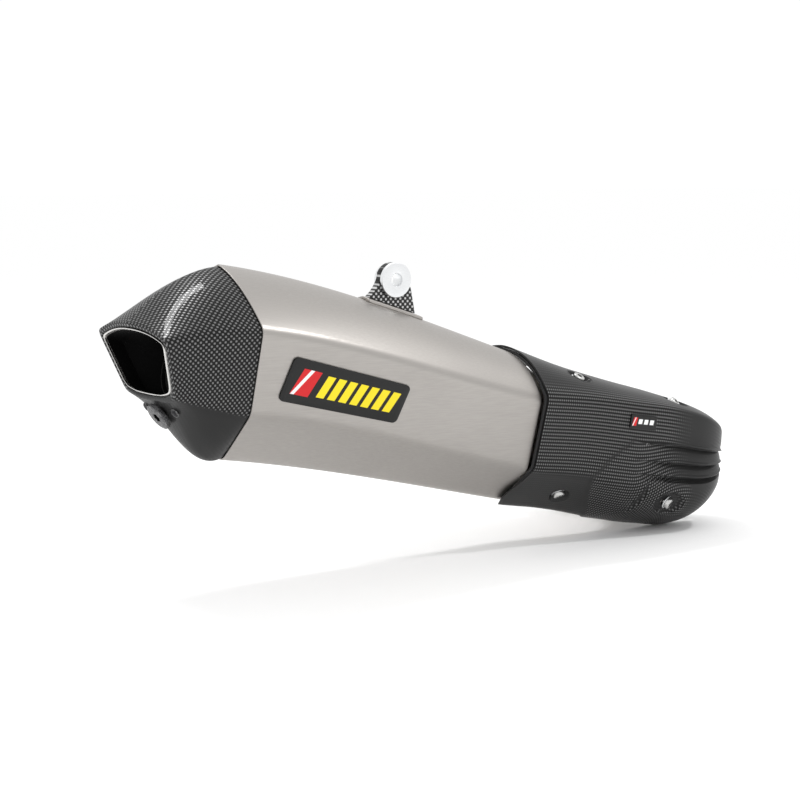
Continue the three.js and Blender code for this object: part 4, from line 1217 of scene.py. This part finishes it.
# %% Guard screws and washers
for name, (point, axis) in fixings.items():
    screw = key_screw(4.6, -11.1, -2.6, 0.4, 2.5, 2.3, point, axis)
    piece(f"screw_{name}", screw, STEEL, "silencer", [f"guard_screw_{name}"])
    washer = soften(spun([(2.8, -3.7), (6.0, -3.7), (6.0, -2.9), (2.8, -2.9)], point, axis, 48), 0.2)
    piece(f"washer_{name}", washer, ALUMINIUM, "silencer", [f"guard_washer_{name}"])

# %% [markdown]
# ## The hanger
# A short titanium foot is welded along the spine, and a carbon plate stands on it. The foot is
# a grid draped over the roof and extruded down to it. The plate starts as one closed outline
# with a round hole, filled flat, extruded six millimetres and eased along its edges. A flanged
# aluminium bush passes through a rubber ring in the hole, with a collar on the far side.


# %% Foot and plate
def roof_height(x, y):
    t = x / 250
    spine, ridge = bezier(BODY["spine"], t), bezier(BODY["ridge"], t)
    knee = Vector((x, ridge.y * mix(0.5, 0.66, t), mix(ridge.z, spine.z, mix(0.79, 0.97, t))))
    run = bezier_run((spine, knee, ridge), 80)
    for a, b in zip(run, run[1:]):
        if a.y <= abs(y) <= b.y:
            return mix(a.z, b.z, (abs(y) - a.y) / (b.y - a.y))
    return spine.z


FOOT_TOP = 2.4
PLATE_THICKNESS = 6.0
PLATE_HEAD = 13.0
PLATE_HOLE = 11.0
foot = bmesh.new()
bmesh.ops.create_grid(foot, x_segments=28, y_segments=10, size=1.0)
for vert in foot.verts:
    x, y = mix(123.0, 172.0, vert.co.x / 2 + 0.5), vert.co.y * 9.0
    vert.co = at((x, y, roof_height(x, y) + FOOT_TOP))
grown = bmesh.ops.extrude_face_region(foot, geom=foot.faces[:], use_keep_orig=True)["geom"]
bmesh.ops.translate(foot, vec=(0, 0, -FOOT_TOP * MM), verts=only_verts(grown))
piece("foot", soften(foot, 0.6, 3), TITANIUM, "silencer", ["bracket_foot"])

top = [bezier(((124.5, 41, 0), (134, 46, 0), (138.4, 58.6, 0)), t) for t in steps_between(0, 1, 14)]
arc = []
for a in steps_between(2.82, 0.25, 40):
    arc.append(Vector((HANGER.x + PLATE_HEAD * math.cos(a), HANGER.z + PLATE_HEAD * math.sin(a), 0)))
down = [bezier((arc[-1], (166.5, 42, 0), (170, 20, 0)), t) for t in steps_between(0, 1, 20)[1:]]
rise = [p for p in top + arc[1:] + down if p.y > roof_height(p.x, 0) + FOOT_TOP]
feet = [Vector((x, roof_height(x, 0) + FOOT_TOP, 0)) for x in steps_between(rise[-1].x, rise[0].x, 12)]
plate, layers = new_skin()
outline = [plate.verts.new(at((p.x, -PLATE_THICKNESS / 2, p.y))) for p in rise + feet]
edges = [plate.edges.new(pair) for pair in zip(outline, outline[1:] + outline[:1])]
hole_place = Matrix.Translation(at((HANGER.x, -PLATE_THICKNESS / 2, HANGER.z)))
turn = hole_place @ Matrix.Rotation(math.pi / 2, 4, "X")
hole = bmesh.ops.create_circle(plate, segments=56, radius=PLATE_HOLE * MM, matrix=turn)["verts"]
edges += list({e for v in hole for e in v.link_edges})
bmesh.ops.triangle_fill(plate, edges=edges, use_beauty=True)
grown = bmesh.ops.extrude_face_region(plate, geom=plate.faces[:])["geom"]
bmesh.ops.translate(plate, vec=(0, PLATE_THICKNESS * MM, 0), verts=only_verts(grown))
bmesh.ops.remove_doubles(plate, verts=plate.verts, dist=1e-6)
soften(plate, 0.7, 3)
for vert in plate.verts:
    vert[layers["along"]] = vert.co.x
    vert[layers["girth"]] = vert.co.z
    vert[layers["weave_and_shade"]] = 1.0
piece("hanger_plate", plate, HANGER_CARBON, "silencer", ["hanger_bracket"], sharp=40.0)

# %% Bush, rubber ring and collar
ACROSS = Vector((0, 1, 0))
rubber = [(8.5, -3.0), (9.2, -3.25), (10.2, -3.2), (10.7, -2.8)]
rubber += [(r, -h) for r, h in reversed(rubber)]
piece("rubber_ring", spun(rubber, HANGER, ACROSS), RUBBER, "silencer", ["hanger_grommet"])
flange = [(5, -6.3), (12.9, -6.3), (13.3, -5.9), (13.3, -3.3), (8.2, -3.3), (8.2, 5.9), (5, 5.9)]
bush = soften(spun(flange, HANGER, ACROSS, 96), 0.35, 3, 40.0)
piece("flanged_bush", bush, ALUMINIUM, "bush", ["hanger_bush"])
collar = soften(spun([(8.5, 3.3), (12.4, 3.3), (12.4, 5.9), (8.5, 5.9)], HANGER, ACROSS, 96), 0.4, 3)
piece("bush_ring", collar, ALUMINIUM, "bush", ["bush_collar"])

# %% [markdown]
# ## Chin screw and rivets
# Under the outlet a broad black screw holds the noise damper, with a rivet on each side. The
# surface of the chin is read from the cap's own section, so that each head sits square on it.

# %% Chin hardware
CHIN = 0.84
RIVET_SHANK = [(0, -5.5), (3, -5.5), (3, -3.4), (1.9, -3.4), (1.9, 0.8)]
RIVET = RIVET_SHANK + [(3.7, 0.8), (3.5, 1.4), (2.6, 2.1), (1.3, 2.4), (0, 2.5)]
RIVET_APART = 20.5


def slope_of(rail, s):
    return (bezier(rail, s + 0.002) - bezier(rail, s - 0.002)).normalized()


chin_point = bezier(CAP["keel"], CHIN)
chin_way = slope_of(CAP["keel"], CHIN)
chin_axis = Vector((chin_way.z, 0, -chin_way.x)).normalized()
if chin_axis.x > 0:
    chin_axis = -chin_axis
plug = key_screw(10.6, -12.0, 2.0, 5.0, 3.0, 3.6, chin_point, chin_axis, 1.2)
piece("chin_screw", plug, BLACK_STEEL, "silencer", ["damper_bolt"])
half, _ = half_section(cap_section(CHIN))
for side, label in ((1, "left"), (-1, "right")):
    run = half[::-1]
    i = next(j for j, p in enumerate(run) if p.y > RIVET_APART)
    spot = mix(run[i - 1], run[i], (RIVET_APART - run[i - 1].y) / (run[i].y - run[i - 1].y))
    axis = chin_way.cross(run[i] - run[i - 1]).normalized()
    if axis.x > 0:
        axis = -axis
    mirror = Vector((1, side, 1))
    rivet = spun(RIVET, spot * mirror, axis * mirror, 40)
    piece(f"rivet_{label}", rivet, BLACK_STEEL, "silencer", [f"chin_rivet_{label}"])

# %% [markdown]
# ## Labels
# Two thin plates carry the maker's colours. They are generic: a slanted red block with a pale
# slash, and a row of slanted bars, all drawn by comparing the UV coordinates with a few numbers.


# %% Label finish
def inside_band(tree, value, low, high):
    above = calc(tree, "GREATER_THAN", value, low)
    return calc(tree, "MULTIPLY", above, calc(tree, "LESS_THAN", value, high))


def label(name, size, ink, bars, foot, head):
    made, tree, surface = new_material(name, Coat_Weight=0.25, Coat_Roughness=0.06, Specular_IOR_Level=0.2)
    uv = wire(tree, "ShaderNodeUVMap", uv_map="UVMap").outputs[0]
    axes = wire(tree, "ShaderNodeSeparateXYZ", {0: uv}).outputs
    u = calc(tree, "DIVIDE", axes[0], size[0] * MM)
    v = calc(tree, "DIVIDE", axes[1], size[1] * MM)
    lean = calc(tree, "SUBTRACT", u, calc(tree, "MULTIPLY", v, 0.07))
    tall = inside_band(tree, v, foot, head)
    block = calc(tree, "MULTIPLY", inside_band(tree, lean, 0.05, 0.2), inside_band(tree, v, 0.2, 0.8))
    tilt = calc(tree, "SUBTRACT", u, calc(tree, "MULTIPLY", v, 0.16))
    slash = calc(tree, "MULTIPLY", inside_band(tree, tilt, 0.035, 0.065), block)
    count = calc(tree, "MULTIPLY", calc(tree, "SUBTRACT", lean, 0.26), bars / 0.66)
    gap = calc(tree, "LESS_THAN", calc(tree, "FRACT", count), 0.68)
    row = calc(tree, "MULTIPLY", inside_band(tree, lean, 0.26, 0.92), calc(tree, "MULTIPLY", gap, tall))
    noise = wire(tree, "ShaderNodeTexNoise", {"Vector": uv, "Scale": 900.0, "Detail": 2.0}).outputs[0]
    colour = blend_colours(tree, calc(tree, "MULTIPLY", noise, 0.2), grey(0.003), grey(0.014))
    colour = blend_colours(tree, row, colour, ink)
    colour = blend_colours(tree, block, colour, (0.62, 0.008, 0.012, 1.0))
    colour = blend_colours(tree, slash, colour, grey(0.85))
    tree.links.new(colour, surface.inputs["Base Color"])
    tree.links.new(calc(tree, "MULTIPLY_ADD", noise, 0.12, 0.3), surface.inputs["Roughness"])
    return made


print("label finish ready")

# %% [markdown]
# ## Label plates
# A plate is an outline with rounded corners, filled and sliced into strips so that it can bend.
# Each point is then carried to the flank by its share of the plate's length and height, and the
# sheet gets its thickness.


# %% Bent plates
def plate_outline(size, corner):
    length, height = size
    points = []
    for cx, cy, start in (
        (length - corner, corner, -90),
        (length - corner, height - corner, 0),
        (corner, height - corner, 90),
        (corner, corner, 180),
    ):
        for a in steps_between(start, start + 90, 6):
            turn = math.radians(a)
            points.append((cx + corner * math.cos(turn), cy + corner * math.sin(turn)))
    return points


def laid_plate(size, corner, lay, thickness):
    bm, layers = new_skin()
    verts = [bm.verts.new((u * MM, v * MM, 0)) for u, v in plate_outline(size, corner)]
    edges = [bm.edges.new(pair) for pair in zip(verts, verts[1:] + verts[:1])]
    bmesh.ops.triangle_fill(bm, edges=edges, use_beauty=True)
    for u in steps_between(0, size[0], 20)[1:-1]:
        cut(bm, (u * MM, 0, 0), (1, 0, 0))
    for vert in bm.verts:
        vert[layers["along"]], vert[layers["girth"]] = vert.co.x, vert.co.y
        vert.co = at(lay(vert.co.x / MM / size[0], vert.co.y / MM / size[1]))
    bmesh.ops.recalc_face_normals(bm, faces=bm.faces)
    if sum(f.normal.y * f.calc_area() for f in bm.faces) > 0:
        bmesh.ops.reverse_faces(bm, faces=bm.faces)
    bmesh.ops.solidify(bm, geom=bm.faces[:], thickness=thickness * MM)
    return soften(bm, 0.25, 2, 50.0)


def on_flank(corners, ridge_and_chine, lift):
    """Turns plate shares into a point on the right-hand flank, lifted off the surface."""
    low_rear, high_rear, high_front, low_front = (Vector((x, 0, z)) for x, z in corners)

    def lay(u, v):
        spot = mix(mix(low_rear, low_front, u), mix(high_rear, high_front, u), v)
        ridge, chine = ridge_and_chine(spot.x)
        share = (ridge.z - spot.z) / (ridge.z - chine.z)
        slope = (ridge - chine).normalized()
        outward = Vector((0, -slope.z, -slope.y))
        return Vector((spot.x, -mix(ridge.y, chine.y, share), spot.z)) + outward * lift

    return lay


def body_flank(x):
    return bezier(BODY["ridge"], x / 250), bezier(BODY["chine"], x / 250)


def guard_flank(x):
    section = guard_section(x)
    return section["ridge"], section["chine"]


print("plate helpers ready")

# %% Side and guard labels
YELLOW = (0.9, 0.72, 0.01, 1.0)
side_size = (105.2, 32.4)
corners = ((19.4, -22.8), (28, 8.4), (129.5, -19.6), (121.7, -47.2))
side = laid_plate(side_size, 4.0, on_flank(corners, body_flank, 1.2), 0.9)
side_look = label("Side label", side_size, YELLOW, 7, 0.24, 0.76)
piece("side_label", side, side_look, "silencer", ["side_badge"])
small_size = (26.3, 11.5)
corners = ((339, -66.5), (339, -55), (365, -59), (365, -70.5))
small = laid_plate(small_size, 1.0, on_flank(corners, guard_flank, 1.2), 0.9)
small_look = label("Guard label", small_size, grey(0.85), 3, 0.36, 0.7)
piece("guard_label", small, small_look, "silencer", ["guard_badge"])

# %% [markdown]
# ## Pieces kept from the CAD model
# What is hidden inside needs no finer surface: the perforated core, the glass wool, the
# bulkheads and the guard's posts keep their CAD shapes and only receive a finish.

# %% Finishes for the kept pieces
KEPT = {
    "core_tube": SOOT_AND_SHADE_STEEL,
    "glass_packing": WOOL,
    "rear_bulkhead": STEEL,
    "front_bulkhead": STEEL,
    # black rubber seal in the gap under the guard's rear edge; its black also stands in for the shadow in
    # that gap, painted shade
    "guard_edge_seal": RUBBER,
    "damper_bolt_seal": RUBBER,
    "damper_bolt_nut": STEEL,
}
KEPT.update({f"guard_post_{name}": TITANIUM for name in fixings})
for name, material in KEPT.items():
    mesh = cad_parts[name].data
    mesh.materials.clear()
    mesh.materials.append(material)
print("kept pieces finished:", len(KEPT))

# %% [markdown]
# ## Studio
# The silencer lies on a pale floor in a white room, as in a catalogue. The bright floor fills the
# flanks from below. A softbox overhead, a little to the far side, lights the roof. A small lamp
# ahead of the inlet, on the near side, draws a line of light along the near ridge.

# %% Floor and room
floor_mesh = bpy.data.meshes.new("studio_floor")
bm = bmesh.new()
bmesh.ops.create_grid(bm, x_segments=2, y_segments=2, size=14.0)
bmesh.ops.translate(bm, vec=(0, 0, cad_low.z - 0.0005), verts=bm.verts)
bm.to_mesh(floor_mesh)
bm.free()
floor = bpy.data.objects.new("studio_floor", floor_mesh)
bpy.context.scene.collection.objects.link(floor)
paper, _, _ = new_material("Studio paper", Base_Color=grey(0.97), Roughness=0.8, Specular_IOR_Level=0.0)
floor_mesh.materials.append(paper)

world = bpy.data.worlds.new("Studio")
bpy.context.scene.world = world
world.use_nodes = True
sky = world.node_tree.nodes["Background"]
sky.inputs["Color"].default_value = grey(1.0)
sky.inputs["Strength"].default_value = 1.03
print("floor at", round(cad_low.z * 1000, 1), "mm")


# %% Lamps
def softbox(name, place, aim, width, height, power):
    lamp = bpy.data.lights.new(name, "AREA")
    lamp.shape = "RECTANGLE"
    lamp.size, lamp.size_y = width, height
    lamp.energy = power
    made = bpy.data.objects.new(name, lamp)
    made.location = place
    made.rotation_mode = "QUATERNION"
    made.rotation_quaternion = (Vector(aim) - Vector(place)).to_track_quat("-Z", "Y")
    bpy.context.scene.collection.objects.link(made)
    return made


softbox("overhead", (-0.12, 0.55, 1.2), (-0.15, 0, 0), 0.5, 0.16, 7)
softbox("ridge lamp", (0.68, -0.5, 0.84), (-0.1, 0, 0), 0.1, 0.1, 3.5)
print("lamps ready")

# %% [markdown]
# ## Camera
# The camera stands low, behind the silencer and to its right, and looks across it with a long
# lens.

# %% Camera
camera = bpy.data.objects.new("camera", bpy.data.cameras.new("camera"))
bpy.context.scene.collection.objects.link(camera)
azimuth, elevation = math.radians(35), math.radians(7)
ahead = Vector(
    (math.sin(azimuth) * math.cos(elevation), math.cos(azimuth) * math.cos(elevation), -math.sin(elevation))
)
camera.location = (-0.84327, -1.21463, 0.09047)
camera.rotation_mode = "QUATERNION"
camera.rotation_quaternion = ahead.to_track_quat("-Z", "Y")
camera.data.sensor_width = 36.0
camera.data.lens = 88.65
bpy.context.scene.camera = camera
bpy.context.scene.view_settings.view_transform = "Standard"
print("camera at", tuple(camera.location))
